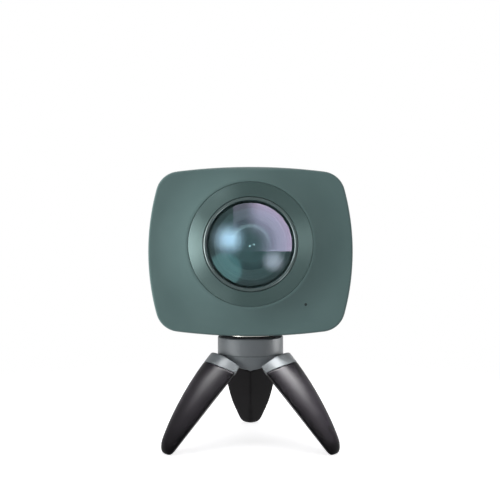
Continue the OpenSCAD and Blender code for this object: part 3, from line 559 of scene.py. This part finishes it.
def shell_form():
    """The front shell, grown from a circle."""
    form = bmesh.new()
    bmesh.ops.create_circle(form, segments=SHELL_STEPS, radius=1)
    angles = {v: math.atan2(v.co.y, v.co.x) for v in form.verts}

    def move(verts, ring):
        for v in verts:
            radius, depth = ring(angles[v])
            across, up = radius * math.cos(angles[v]), radius * math.sin(angles[v])
            v.co = Vector((across, -depth, LENS_Z + up)) * MM

    first = list(form.edges)
    move(list(form.verts), SHELL_RINGS[0])
    loop = first
    for ring in SHELL_RINGS[1:]:
        before = {tuple(v.co): angles[v] for e in loop for v in e.verts}
        grown = bmesh.ops.extrude_edge_only(form, edges=loop)["geom"]
        verts = [g for g in grown if isinstance(g, bmesh.types.BMVert)]
        loop = [g for g in grown if isinstance(g, bmesh.types.BMEdge)]
        angles.update({v: before[tuple(v.co)] for v in verts})
        move(verts, ring)
    bmesh.ops.bridge_loops(form, edges=loop + first)
    bmesh.ops.recalc_face_normals(form, faces=form.faces)
    return form


print("each ring of a shell has", SHELL_STEPS, "vertices")

# %% Drill the microphone hole and make both shells
MIC_HOLE_R = 0.45
DRILL_SIDES = 32
DRILL_LENGTH = 20


def evaluated(made):
    """Mesh of an object with its modifiers applied, as a bmesh."""
    form = bmesh.new()
    form.from_object(made, bpy.context.evaluated_depsgraph_get())
    return form


def scratch(name, form):
    """A helper object that is removed again."""
    data = bpy.data.meshes.new(name)
    form.to_mesh(data)
    form.free()
    made = bpy.data.objects.new(name, data)
    bpy.context.scene.collection.objects.link(made)
    return made


def drop(*helpers):
    """Remove helper objects."""
    for made in helpers:
        bpy.data.objects.remove(made)


def with_hole(form, place, radius):
    """Drill a hole from the front."""
    tool = bmesh.new()
    bmesh.ops.create_cone(tool, cap_ends=True, segments=DRILL_SIDES, radius1=radius * MM,
                          radius2=radius * MM, depth=DRILL_LENGTH * MM)
    bmesh.ops.rotate(tool, matrix=Matrix.Rotation(math.pi / 2, 3, "X"), verts=tool.verts)
    bmesh.ops.translate(tool, vec=place * MM, verts=tool.verts)
    blank = scratch("blank", form)
    drill = scratch("drill", tool)
    cut = blank.modifiers.new("hole", "BOOLEAN")
    cut.object = drill
    cut.operation = "DIFFERENCE"
    cut.solver = "EXACT"
    drilled = evaluated(blank)
    drop(blank, drill)
    return drilled


mic_low, mic_high = node_box("microphone")
shells = []
for side, turned in (("front", False), ("rear", True)):
    form = shell_form()
    if turned:
        bmesh.ops.transform(form, matrix=HALF_TURN, verts=form.verts)
    else:
        form = with_hole(form, (mic_low + mic_high) / 2, MIC_HOLE_R)
    shells.append(piece(f"{side}_housing", form, "camera", "shell_plastic", FINISH["shell_plastic"],
                        f"{side}_shell"))
print("shells:", ", ".join(f"{s.name} with {len(s.data.polygons)} faces" for s in shells))

# %% [markdown]
# ## Lens rings and glass
#
# The trim ring, the retaining ring and the dome of glass are all turned. A section lists the corners, with
# small steps where an edge is broken and arcs where it is round.

# %% Sections of the lens unit
OPENING_R = 15.4
DOME_R = 14
BEZEL_OUTER = 0.1
BEZEL_PROUD = 0.7
CHAMFER = 0.15
RETAINER_PROUD = 1.1
RETAINER_POINTS = 17
DOME_CURVE_R = 20.5
DOME_HOLLOW_R = 17.5
DOME_T = 1.8
DOME_POINTS = 40
GLASS_DEPTH = 1.4
GLASS_SEAT = SEAT - GLASS_DEPTH
GLASS_RIM = 1.2
GLASS_LEDGE = 0.75
GLASS_RIM_R = OPENING_R - GLASS_LEDGE - SEAT_GAP


def bezel_section():
    """A slightly coned face between two broken edges."""
    outer = BELL_TOP + BEZEL_OUTER
    inner = BELL_TOP + BEZEL_PROUD
    return [(OPENING_R, SEAT + SEAT_GAP), (BEZEL_R, SEAT + SEAT_GAP), (BEZEL_R, outer - CHAMFER),
            (BEZEL_R - CHAMFER / 3, outer - CHAMFER / 3), (BEZEL_R - CHAMFER, outer),
            (OPENING_R + CHAMFER, inner), (OPENING_R + CHAMFER / 3, inner - CHAMFER / 3),
            (OPENING_R, inner - CHAMFER)]


def retainer_section():
    """A ring with a round rim that stands over the trim ring."""
    inner = DOME_R + SEAT_GAP
    outer = OPENING_R - SEAT_GAP
    rim = (outer - inner) / 2
    top = BELL_TOP + RETAINER_PROUD - rim
    foot = GLASS_SEAT + GLASS_RIM + SEAT_GAP
    return [(inner, foot), (outer, foot)] + arc((inner + rim, top), rim, 0, 180, RETAINER_POINTS)


def dome_section():
    """A thin dome on a flat rim, from the axis outwards and back along its hollow."""
    middle = DOME_APEX - DOME_CURVE_R
    hollow = DOME_APEX - DOME_T - DOME_HOLLOW_R
    outer_turn = math.degrees(math.acos(DOME_R / DOME_CURVE_R))
    inner_turn = math.degrees(math.asin((GLASS_SEAT - hollow) / DOME_HOLLOW_R))
    outside = arc((0, middle), DOME_CURVE_R, 90, outer_turn, DOME_POINTS)
    inside = arc((0, hollow), DOME_HOLLOW_R, inner_turn, 90, DOME_POINTS)
    rim_top = GLASS_SEAT + GLASS_RIM
    rim = [(DOME_R, rim_top), (GLASS_RIM_R, rim_top), (GLASS_RIM_R, GLASS_SEAT)]
    return outside + rim + inside


# Name, node, finish and section of each piece.
LENS_PARTS = (
    ("trim_ring", "lens_bezel", "spun_metal", bezel_section()),
    ("retaining_ring", "lens_retainer", "dark_metal", retainer_section()),
    ("fisheye_glass", "dome_lens", "dome_glass", dome_section()),
)
for side, turned in (("front", False), ("rear", True)):
    for label, node, slot, section in LENS_PARTS:
        closed = label != "fisheye_glass"
        form = spun(section, LENS_POINT, Y_AXIS, closed)
        if turned:
            bmesh.ops.transform(form, matrix=HALF_TURN, verts=form.verts)
        piece(f"{side}_{label}", form, "camera", slot, FINISH[slot], f"{side}_{node}")
print("lens pieces on each side:", ", ".join(part[0] for part in LENS_PARTS))

# %% [markdown]
# ## Machined and moulded copies
#
# Pieces with holes, slots and flats keep the frame's own shape. They are welded copies with broken edges.

# %% Copies with broken edges
# Name, node, body, finish and width of the broken edges in millimetres.
COPIES = (
    ("side_band", "mid_band", "camera", "band_plastic", 0.12),
    ("shutter_cap", "shutter_button", "shutter", "button_plastic", 0.25),
    ("power_cap", "power_button", "power", "button_plastic", 0.25),
    ("mode_cap", "mode_button", "mode", "button_plastic", 0.25),
    ("bush", "tripod_bush", "camera", "bush_brass", 0.15),
    ("rubber_washer", "top_pad", "tripod_hub", "pad_rubber", 0.12),
    ("hub", "hub_core", "tripod_hub", "hub_grey", 0.15),
)
for label, node, body, slot, width in COPIES:
    even_shading(piece(label, copied(node, width), body, slot, FINISH[slot], node))
print("copies:", ", ".join(row[0] for row in COPIES))

# %% [markdown]
# ## The neck
#
# The neck is a plain turned sleeve. Its upper edge has a small round that shows as a bright line.

# %% Neck sleeve
NECK_R = neck_high.x
NECK_WALL = 1.15
NECK_ROUND = 0.45
NECK_POINTS = 9
NECK_CHAMFER = 0.1
neck_section = [(NECK_R - NECK_WALL, neck_low.z), (NECK_R - NECK_CHAMFER, neck_low.z),
                (NECK_R, neck_low.z + NECK_CHAMFER)]
neck_section += arc((NECK_R - NECK_ROUND, neck_high.z - NECK_ROUND), NECK_ROUND, 0, 90, NECK_POINTS)
neck_section += [(NECK_R - NECK_WALL, neck_high.z)]
piece("neck", spun(neck_section, Vector(), Z_AXIS), "tripod_hub", "neck_grey", FINISH["neck_grey"],
      "neck_sleeve")
print(f"neck: {2 * NECK_R:.1f} mm across, {neck_high.z - neck_low.z:.1f} mm high")

# %% [markdown]
# ## The legs
#
# Closed, the three legs make one bullet-shaped handle. Each is a third of it, with a hard collar and a
# soft rubbery grip. Rubber has no sharp edge anywhere, so the grip is made again from small cells and
# smoothed, which rounds every edge. The foot is smoothed more often than the rest.

# %% Legs
CELL = 0.3 * MM
SMOOTHING = 0.5
GRIP_PASSES = 14
FOOT_ZONE = 9 * MM
FOOT_NARROWS = 0.7
FOOT_PASSES = 60
COLLAR_EDGE = 0.2


def round_foot(form):
    """Round the end of a leg further and set it on the floor again."""
    for turn in range(FOOT_PASSES):
        zone = FOOT_ZONE * (1 - FOOT_NARROWS * turn / FOOT_PASSES)
        foot = [v for v in form.verts if v.co.z < zone]
        bmesh.ops.smooth_vert(form, verts=foot, factor=SMOOTHING, use_axis_x=True, use_axis_y=True,
                              use_axis_z=True)
    lowest = min(v.co.z for v in foot)
    for v in form.verts:
        v.co.z -= lowest * max(0, 1 - v.co.z / FOOT_ZONE)


def softened(node):
    """A copy of a leg's grip with all its edges rounded."""
    form = bmesh.new()
    form.from_mesh(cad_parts[node].data)
    bmesh.ops.remove_doubles(form, verts=form.verts, dist=WELD)
    blank = scratch("blank", form)
    cells = blank.modifiers.new("cells", "REMESH")
    cells.mode = "VOXEL"
    cells.voxel_size = CELL
    smooth = blank.modifiers.new("smooth", "SMOOTH")
    smooth.factor = SMOOTHING
    smooth.iterations = GRIP_PASSES
    soft = evaluated(blank)
    drop(blank)
    round_foot(soft)
    return soft


for side in ("left", "right", "rear"):
    body = f"{side}_leg"
    root, sleeve = f"{side}_leg_root", f"{side}_leg_sleeve"
    collar = piece(f"{side}_collar", copied(root, COLLAR_EDGE), body, "hub_grey", FINISH["hub_grey"], root)
    even_shading(collar)
    grip = piece(f"{side}_grip", softened(sleeve), body, "leg_grip", FINISH["leg_grip"], sleeve)
print("three legs, each grip with", len(grip.data.polygons), "faces")

# %% [markdown]
# ## Pieces inside
#
# What lies inside, with the sockets, the light pipe and the screw, keeps the frame's own mesh and gets a
# fitting material.

# %% Materials of the inner pieces
INNER = {
    "lens_barrel": "lens_black", "lens_baffle": "lens_black", "middle_lens": "coated_glass",
    "inner_lens": "coated_glass", "image_sensor": "sensor_chip", "sensor_board": "circuit_board",
    "main_board": "circuit_board", "board_screws": "steel", "processor_shield": "steel",
    "battery": "battery_wrap", "usb_socket": "steel", "card_socket": "steel",
    "button_switches": "lens_black", "status_light_pipe": "light_pipe", "microphone": "dark_metal",
    "tripod_stud": "steel", "hinge_pins": "steel",
}
for name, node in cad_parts.items():
    plain = name.removeprefix("front_").removeprefix("rear_")
    if plain in INNER:
        node.data.materials.clear()
        node.data.materials.append(FINISH[INNER[plain]])
print("kinds of inner pieces finished:", len(INNER))

# %% [markdown]
# ## Stage and light
#
# The object stands on a small white floor that fades out into a white world, so there is no horizon.
# Three soft lamps, from the left, the right and above, light it at a plain level, so a colour looks about
# as it is written. A fourth stands far to the left and rakes over the housing alone: its light hardly
# reaches the flat front, and it falls full on the left slope of the bell. A fifth lights only the pieces
# of the back, so that the object looks right when it is seen from behind.

# %% Floor and world
FLOOR_HALF = 0.25
FLOOR_FADE = (0.07, 0.2)
FLOOR_GLOW = 0.72
WORLD_FILL = 0.34


def is_seen(tree):
    """One for camera, glossy and transmission rays, nought for the rest."""
    path = tree.nodes.new("ShaderNodeLightPath")
    either = tree.nodes.new("ShaderNodeMath")
    either.operation = "MAXIMUM"
    seen = tree.nodes.new("ShaderNodeMath")
    seen.operation = "MAXIMUM"
    tree.links.new(path.outputs["Is Camera Ray"], either.inputs[0])
    tree.links.new(path.outputs["Is Glossy Ray"], either.inputs[1])
    tree.links.new(either.outputs["Value"], seen.inputs[0])
    tree.links.new(path.outputs["Is Transmission Ray"], seen.inputs[1])
    return seen.outputs["Value"]


def from_middle(tree):
    """Distance of a point from the middle of its object, in metres."""
    place = tree.nodes.new("ShaderNodeTexCoord")
    length = tree.nodes.new("ShaderNodeVectorMath")
    length.operation = "LENGTH"
    tree.links.new(place.outputs["Object"], length.inputs[0])
    return length.outputs["Value"]


def faded(tree, shader_output, factor):
    """Let a surface vanish where the factor is nought."""
    clear = tree.nodes.new("ShaderNodeBsdfTransparent")
    blend = tree.nodes.new("ShaderNodeMixShader")
    tree.links.new(factor, blend.inputs["Fac"])
    tree.links.new(clear.outputs["BSDF"], blend.inputs[1])
    tree.links.new(shader_output, blend.inputs[2])
    tree.links.new(blend.outputs["Shader"], tree.nodes["Material Output"].inputs["Surface"])


def sheet(name, half_width, material):
    """A flat square of the stage, which is no part of the object."""
    form = bmesh.new()
    bmesh.ops.create_grid(form, x_segments=1, y_segments=1, size=half_width)
    data = bpy.data.meshes.new(name)
    form.to_mesh(data)
    form.free()
    data.materials.append(material)
    made = bpy.data.objects.new(name, data)
    bpy.context.scene.collection.objects.link(made)
    return made


def floor_material():
    """White that fades out from the middle and doesn't show from below."""
    material, tree, shader = bare_material("floor_white")
    shader.inputs["Base Color"].default_value = (0.86, 0.855, 0.875, 1)
    shader.inputs["Roughness"].default_value = 0.9
    shader.inputs["Specular IOR Level"].default_value = 0
    shader.inputs["Emission Color"].default_value = (1, 1, 1, 1)
    lift = range_node(tree, 0, 1, 0, FLOOR_GLOW)
    tree.links.new(is_seen(tree), lift.inputs["Value"])
    tree.links.new(lift.outputs["Result"], shader.inputs["Emission Strength"])
    near = range_node(tree, *FLOOR_FADE, 1, 0)
    near.interpolation_type = "SMOOTHSTEP"
    tree.links.new(from_middle(tree), near.inputs["Value"])
    from_above = tree.nodes.new("ShaderNodeMath")
    from_above.operation = "SUBTRACT"
    side = tree.nodes.new("ShaderNodeNewGeometry")
    tree.links.new(near.outputs["Result"], from_above.inputs[0])
    tree.links.new(side.outputs["Backfacing"], from_above.inputs[1])
    from_above.use_clamp = True
    faded(tree, shader.outputs["BSDF"], from_above.outputs["Value"])
    return material


def white_world():
    """White to every ray that shows it, and a weak fill light to the rest."""
    world = bpy.data.worlds.new("studio")
    bpy.context.scene.world = world
    world.use_nodes = True
    tree = world.node_tree
    sky = tree.nodes["Background"]
    sky.inputs["Color"].default_value = (1, 1, 1, 1)
    level = range_node(tree, 0, 1, WORLD_FILL, 1)
    tree.links.new(is_seen(tree), level.inputs["Value"])
    tree.links.new(level.outputs["Result"], sky.inputs["Strength"])


floor = sheet("floor", FLOOR_HALF, floor_material())
floor.visible_glossy = False
floor.visible_transmission = False
white_world()
print("floor and world are white to the camera")

# %% Lamps
BRIGHT = (1, 1, 1)
ROSY = (1, 0.98, 1)
HOUSING = ("front_housing", "rear_housing", "side_band")
BACK = ("rear_housing", "side_band", "rear_trim_ring", "rear_retaining_ring", "rear_collar", "rear_grip",
        "neck", "hub")
# Name, place and width in metres, watts, colour and the pieces that the lamp is kept to.
LAMPS = (
    ("left_softbox", (-0.85, -0.5, 0.2), 0.5, 5.9, BRIGHT, None),
    ("right_softbox", (0.4, -0.3, 0.3), 0.3, 0.62, ROSY, None),
    ("top_softbox", (0, -0.05, 0.6), 0.5, 1.2, BRIGHT, None),
    ("raking_softbox", (-0.98, -0.16, 0.03), 0.35, 6.5, BRIGHT, HOUSING),
    ("rear_softbox", (0.45, 0.8, 0.35), 0.5, 4.2, BRIGHT, BACK),
)


def only_on(made, name, labels):
    """Keep a lamp or a card to the named pieces, by light linking."""
    receivers = bpy.data.collections.new(name)
    for label in labels:
        receivers.objects.link(bpy.data.objects[label])
    made.light_linking.receiver_collection = receivers


def softbox(name, place, width, watts, colour, lit):
    """A square lamp that faces the lens, on all pieces or only on those that it names."""
    lamp = bpy.data.lights.new(name, "AREA")
    lamp.shape = "SQUARE"
    lamp.size = width
    lamp.energy = watts
    lamp.color = colour
    made = bpy.data.objects.new(name, lamp)
    made.location = place
    made.rotation_euler = (LENS_POINT * MM - Vector(place)).to_track_quat("-Z", "Y").to_euler()
    made.visible_glossy = False
    made.visible_transmission = False
    bpy.context.scene.collection.objects.link(made)
    if lit:
        only_on(made, name, lit)


for row in LAMPS:
    softbox(*row)
print("lamps:", ", ".join(row[0] for row in LAMPS))

# %% [markdown]
# ## What shines and what the lens mirrors
#
# Product photographers draw highlights with cards: a glowing sheet that stands outside the picture and
# shows only as a reflection. Light linking keeps each card to the pieces it is meant for: four draw the
# fans on the spun ring, one a glint on the rings that hold the glass, two light the sides of the neck, and
# the others draw the highlights along the front legs and the collars.

# %% Glow that only reflections show
FRONT_GLASS = Vector((0, -DOME_APEX, LENS_Z)) * MM


def maths(tree, operation, a, b):
    """A sum, product or the like of two numbers or sockets."""
    node = tree.nodes.new("ShaderNodeMath")
    node.operation = operation
    for socket, value in zip(node.inputs, (a, b)):
        if isinstance(value, (int, float)):
            socket.default_value = value
        else:
            tree.links.new(value, socket)
    return node.outputs["Value"]


def ramp(tree, value, low, high, to_low=0, to_high=1):
    """A soft step of a value between two limits."""
    node = range_node(tree, low, high, to_low, to_high)
    node.interpolation_type = "SMOOTHSTEP"
    tree.links.new(value, node.inputs["Value"])
    return node.outputs["Result"]


def towards(azimuth, elevation):
    """Direction with azimuth to the right of the front and elevation upwards, in degrees."""
    a, e = math.radians(azimuth), math.radians(elevation)
    return Vector((math.cos(e) * math.sin(a), -math.cos(e) * math.cos(a), math.sin(e)))


def glowing(name):
    """A material that adds light to a ray and lets the ray pass."""
    material, tree, shader = bare_material(name)
    tree.nodes.remove(shader)
    glow = tree.nodes.new("ShaderNodeEmission")
    clear = tree.nodes.new("ShaderNodeBsdfTransparent")
    both = tree.nodes.new("ShaderNodeAddShader")
    tree.links.new(glow.outputs["Emission"], both.inputs[0])
    tree.links.new(clear.outputs["BSDF"], both.inputs[1])
    tree.links.new(both.outputs["Shader"], tree.nodes["Material Output"].inputs["Surface"])
    return material, tree, glow


def mirror_sharp(tree):
    """One for rays that come from a mirror-sharp surface, which is only the glass of the domes."""
    return tree.nodes.new("ShaderNodeLightPath").outputs["Is Singular Ray"]


def only_mirrored(made):
    """Hide an object from all rays except mirrored ones."""
    made.visible_camera = False
    made.visible_diffuse = False
    made.visible_shadow = False
    made.visible_transmission = False
    made.visible_volume_scatter = False


print("glowing sheets stand round the glass at", [round(c, 3) for c in FRONT_GLASS])

# %% Reflection cards
CARD_DISTANCE = 0.3
CARD_CORE = 0.1
WARM = (1, 0.89, 0.89, 1)
WHITE = (1, 1, 1, 1)
TRIM = ("front_trim_ring", "rear_trim_ring")
RETAINERS = ("front_retaining_ring", "rear_retaining_ring")
GRIPS = ("left_grip", "right_grip")
COLLARS = ("left_collar", "right_collar", "rear_collar")
NECK = ("neck", "hub", "bush")
# Name, azimuth and elevation in degrees, radius in metres, colour, strength and the pieces it is kept to.
CARDS = (
    ("left_ring_card", -57, -1, 0.2, WARM, 15, TRIM + RETAINERS),
    ("upper_ring_card", -40, 42, 0.14, WARM, 4.5, TRIM),
    ("lower_ring_card", -40, -42, 0.14, WARM, 3, TRIM),
    ("right_ring_card", 50, 5, 0.1, WARM, 4.6, TRIM),
    ("low_right_card", 46, -36, 0.09, WARM, 9, RETAINERS),
    ("neck_card", -66, -20, 0.2, WHITE, 8, NECK),
    ("side_card", 102, 8, 0.16, WHITE, 24, COLLARS + NECK),
    ("left_leg_card", -76, 62, 0.2, WHITE, 200, GRIPS),
    ("right_leg_card", 76, 62, 0.22, WHITE, 330, GRIPS),
    ("left_collar_card", -68, 54, 0.2, WHITE, 36, COLLARS),
    ("right_collar_card", 68, 54, 0.22, WHITE, 75, COLLARS),
)


def card_material(name, colour, strength, radius):
    """Round glow that fades from its core to its radius and that the domes don't show."""
    material, tree, glow = glowing(name)
    glow.inputs["Color"].default_value = colour
    level = ramp(tree, from_middle(tree), CARD_CORE * radius, radius, strength, 0)
    blunt = maths(tree, "SUBTRACT", 1, mirror_sharp(tree))
    tree.links.new(maths(tree, "MULTIPLY", level, blunt), glow.inputs["Strength"])
    return material


def round_card(name, azimuth, elevation, radius, colour, strength, lit):
    """A card that only the named pieces mirror, by light linking."""
    made = sheet(name, radius, card_material(name, colour, strength, radius))
    direction = towards(azimuth, elevation)
    made.location = FRONT_GLASS + direction * CARD_DISTANCE
    made.rotation_euler = (-direction).to_track_quat("Z", "Y").to_euler()
    only_mirrored(made)
    only_on(made, name, lit)


for row in CARDS:
    round_card(*row)
print("reflection cards:", ", ".join(row[0] for row in CARDS))

# %% [markdown]
# The glass of the domes is the only mirror-sharp surface, and it gets a tent of its own: a wide sphere
# that only shows in mirror-sharp rays. A mirror ball shows a direction where its surface faces half-way
# between that direction and the lens axis, so the tent is painted by this half-way direction, in
# millimetres on a ball as large as the dome: a lilac window with two straight edges, a pale blue glow, a
# teal patch, a grey one, two small lamps and a faint ring.

# %% Places on the mirror ball
BALL_R = DOME_CURVE_R


def ball_place(tree):
    """Where a mirror ball shows a point of the tent, and how far the ball faces the front there."""
    place = tree.nodes.new("ShaderNodeTexCoord")
    out = tree.nodes.new("ShaderNodeVectorMath")
    out.operation = "NORMALIZE"
    half = tree.nodes.new("ShaderNodeVectorMath")
    half.operation = "ADD"
    half.inputs[1].default_value = (0, -1, 0)
    unit = tree.nodes.new("ShaderNodeVectorMath")
    unit.operation = "NORMALIZE"
    parts = tree.nodes.new("ShaderNodeSeparateXYZ")
    tree.links.new(place.outputs["Object"], out.inputs[0])
    tree.links.new(out.outputs["Vector"], half.inputs[0])
    tree.links.new(half.outputs["Vector"], unit.inputs[0])
    tree.links.new(unit.outputs["Vector"], parts.inputs["Vector"])
    across = maths(tree, "MULTIPLY", parts.outputs["X"], BALL_R)
    up = maths(tree, "MULTIPLY", parts.outputs["Z"], BALL_R)
    return across, up, maths(tree, "MULTIPLY", parts.outputs["Y"], -1)


def ball_distance(tree, across, up, middle):
    """Distance from a place on the ball, as seen from the front."""
    x = maths(tree, "SUBTRACT", across, middle[0])
    z = maths(tree, "SUBTRACT", up, middle[1])
    squares = maths(tree, "ADD", maths(tree, "MULTIPLY", x, x), maths(tree, "MULTIPLY", z, z))
    return maths(tree, "SQRT", squares, 0)


print("the mirror ball has a radius of", BALL_R, "mm")

# %% Lights painted on the tent
# Limits of soft steps, in millimetres on the ball, with the levels at both where they aren't nought and one.
WINDOW_LEFT = (-5.9, -5.6)
WINDOW_FOOT = (-2.5, -2.2)
WINDOW_ACROSS = (-2.5, 4, 0.22, 1)
WINDOW_OUTWARDS = (2, 11, 0.08, 1)
WINDOW_LIGHT = ((255, 190, 220), 14)
RING_INNER = (5.3, 6)
RING_OUTER = (6.4, 7.1, 1, 0)
RING_FADE = (-2, 4)
RING_LIGHT = ((255, 236, 236), 3.2)
# Middle, core, radius and falloff of each patch, its colour and its strength.
PATCHES = {
    "pale blue glow": ((-7.2, 1.7), 0, 7.4, 1.6, (248, 232, 252), 25),
    "teal patch": ((-8.5, -8.5), 4.5, 6.5, 1, (200, 240, 238), 3.4),
    "grey patch": ((7.5, -5.4), 0.5, 4.6, 1, (255, 208, 220), 13),
    "left lamp": ((-0.3, -0.6), 0.1, 0.5, 1, (255, 255, 255), 22),
    "right lamp": ((1.1, -0.05), 0.1, 0.5, 1, (255, 255, 255), 12),
}


def window_mask(tree, across, up):
    """A window with a straight left and lower edge, brighter to the right and towards the rim."""
    edges = maths(tree, "MULTIPLY", ramp(tree, across, *WINDOW_LEFT), ramp(tree, up, *WINDOW_FOOT))
    outwards = ramp(tree, ball_distance(tree, across, up, (0, 0)), *WINDOW_OUTWARDS)
    level = maths(tree, "MULTIPLY", ramp(tree, across, *WINDOW_ACROSS), outwards)
    return maths(tree, "MULTIPLY", edges, level)


def ring_mask(tree, across, up):
    """A thin ring round the lens axis that fades out below."""
    distance = ball_distance(tree, across, up, (0, 0))
    band = maths(tree, "MULTIPLY", ramp(tree, distance, *RING_INNER), ramp(tree, distance, *RING_OUTER))
    return maths(tree, "MULTIPLY", band, ramp(tree, up, *RING_FADE))


def patch_mask(tree, across, up, middle, core, radius, falloff):
    """A round patch that is full in its core and fades to its radius."""
    level = ramp(tree, ball_distance(tree, across, up, middle), core, radius, 1, 0)
    return maths(tree, "POWER", level, falloff)


print("lights on the tent: a window, a ring,", ", ".join(PATCHES))

# %% Tent round the lens
TENT_R = 0.8
TENT_STEPS = (64, 32)
FRONT_ONLY = (0.55, 0.65)


def tent_material():
    """All lights of the tent added up, in front of the object and for mirror-sharp rays only."""
    material, tree, glow = glowing("tent")
    across, up, facing = ball_place(tree)
    lights = [(window_mask(tree, across, up), *WINDOW_LIGHT), (ring_mask(tree, across, up), *RING_LIGHT)]
    for *outline, colour, strength in PATCHES.values():
        lights.append((patch_mask(tree, across, up, *outline), colour, strength))
    total = None
    for mask, colour, strength in lights:
        part = tree.nodes.new("ShaderNodeVectorMath")
        part.operation = "MULTIPLY_ADD"
        part.inputs[0].default_value = [strength * c for c in screen(*colour)[:3]]
        tree.links.new(mask, part.inputs[1])
        if total:
            tree.links.new(total, part.inputs[2])
        total = part.outputs["Vector"]
    tree.links.new(total, glow.inputs["Color"])
    front = ramp(tree, facing, *FRONT_ONLY)
    tree.links.new(maths(tree, "MULTIPLY", front, mirror_sharp(tree)), glow.inputs["Strength"])
    return material


def lens_tent():
    """A sphere round the glass that only mirrored rays meet."""
    form = bmesh.new()
    around, along = TENT_STEPS
    bmesh.ops.create_uvsphere(form, u_segments=around, v_segments=along, radius=TENT_R)
    data = bpy.data.meshes.new("tent")
    form.to_mesh(data)
    form.free()
    data.shade_smooth()
    data.materials.append(tent_material())
    made = bpy.data.objects.new("tent", data)
    made.location = FRONT_GLASS
    bpy.context.scene.collection.objects.link(made)
    only_mirrored(made)


lens_tent()
print("tent round the lens:", TENT_R, "m")

# %% [markdown]
# ## Camera
#
# The view is the photograph's: level with the lens, straight in front, from a little over a quarter of a
# metre.

# %% Camera
LENS_MM = 58
CAMERA_BACK = 276.3
view = bpy.data.cameras.new("view")
view.lens = LENS_MM
view.sensor_width = 36
view.shift_x = -0.001
view.shift_y = -0.0115
view.clip_start = 0.01
camera = bpy.data.objects.new("view", view)
camera.location = Vector((0, -CAMERA_BACK, LENS_Z)) * MM
camera.rotation_euler = (math.pi / 2, 0, 0)
bpy.context.scene.collection.objects.link(camera)
bpy.context.scene.camera = camera
bpy.context.scene.view_settings.view_transform = "Standard"
print(f"camera {CAMERA_BACK} mm in front of the tripod's axis")
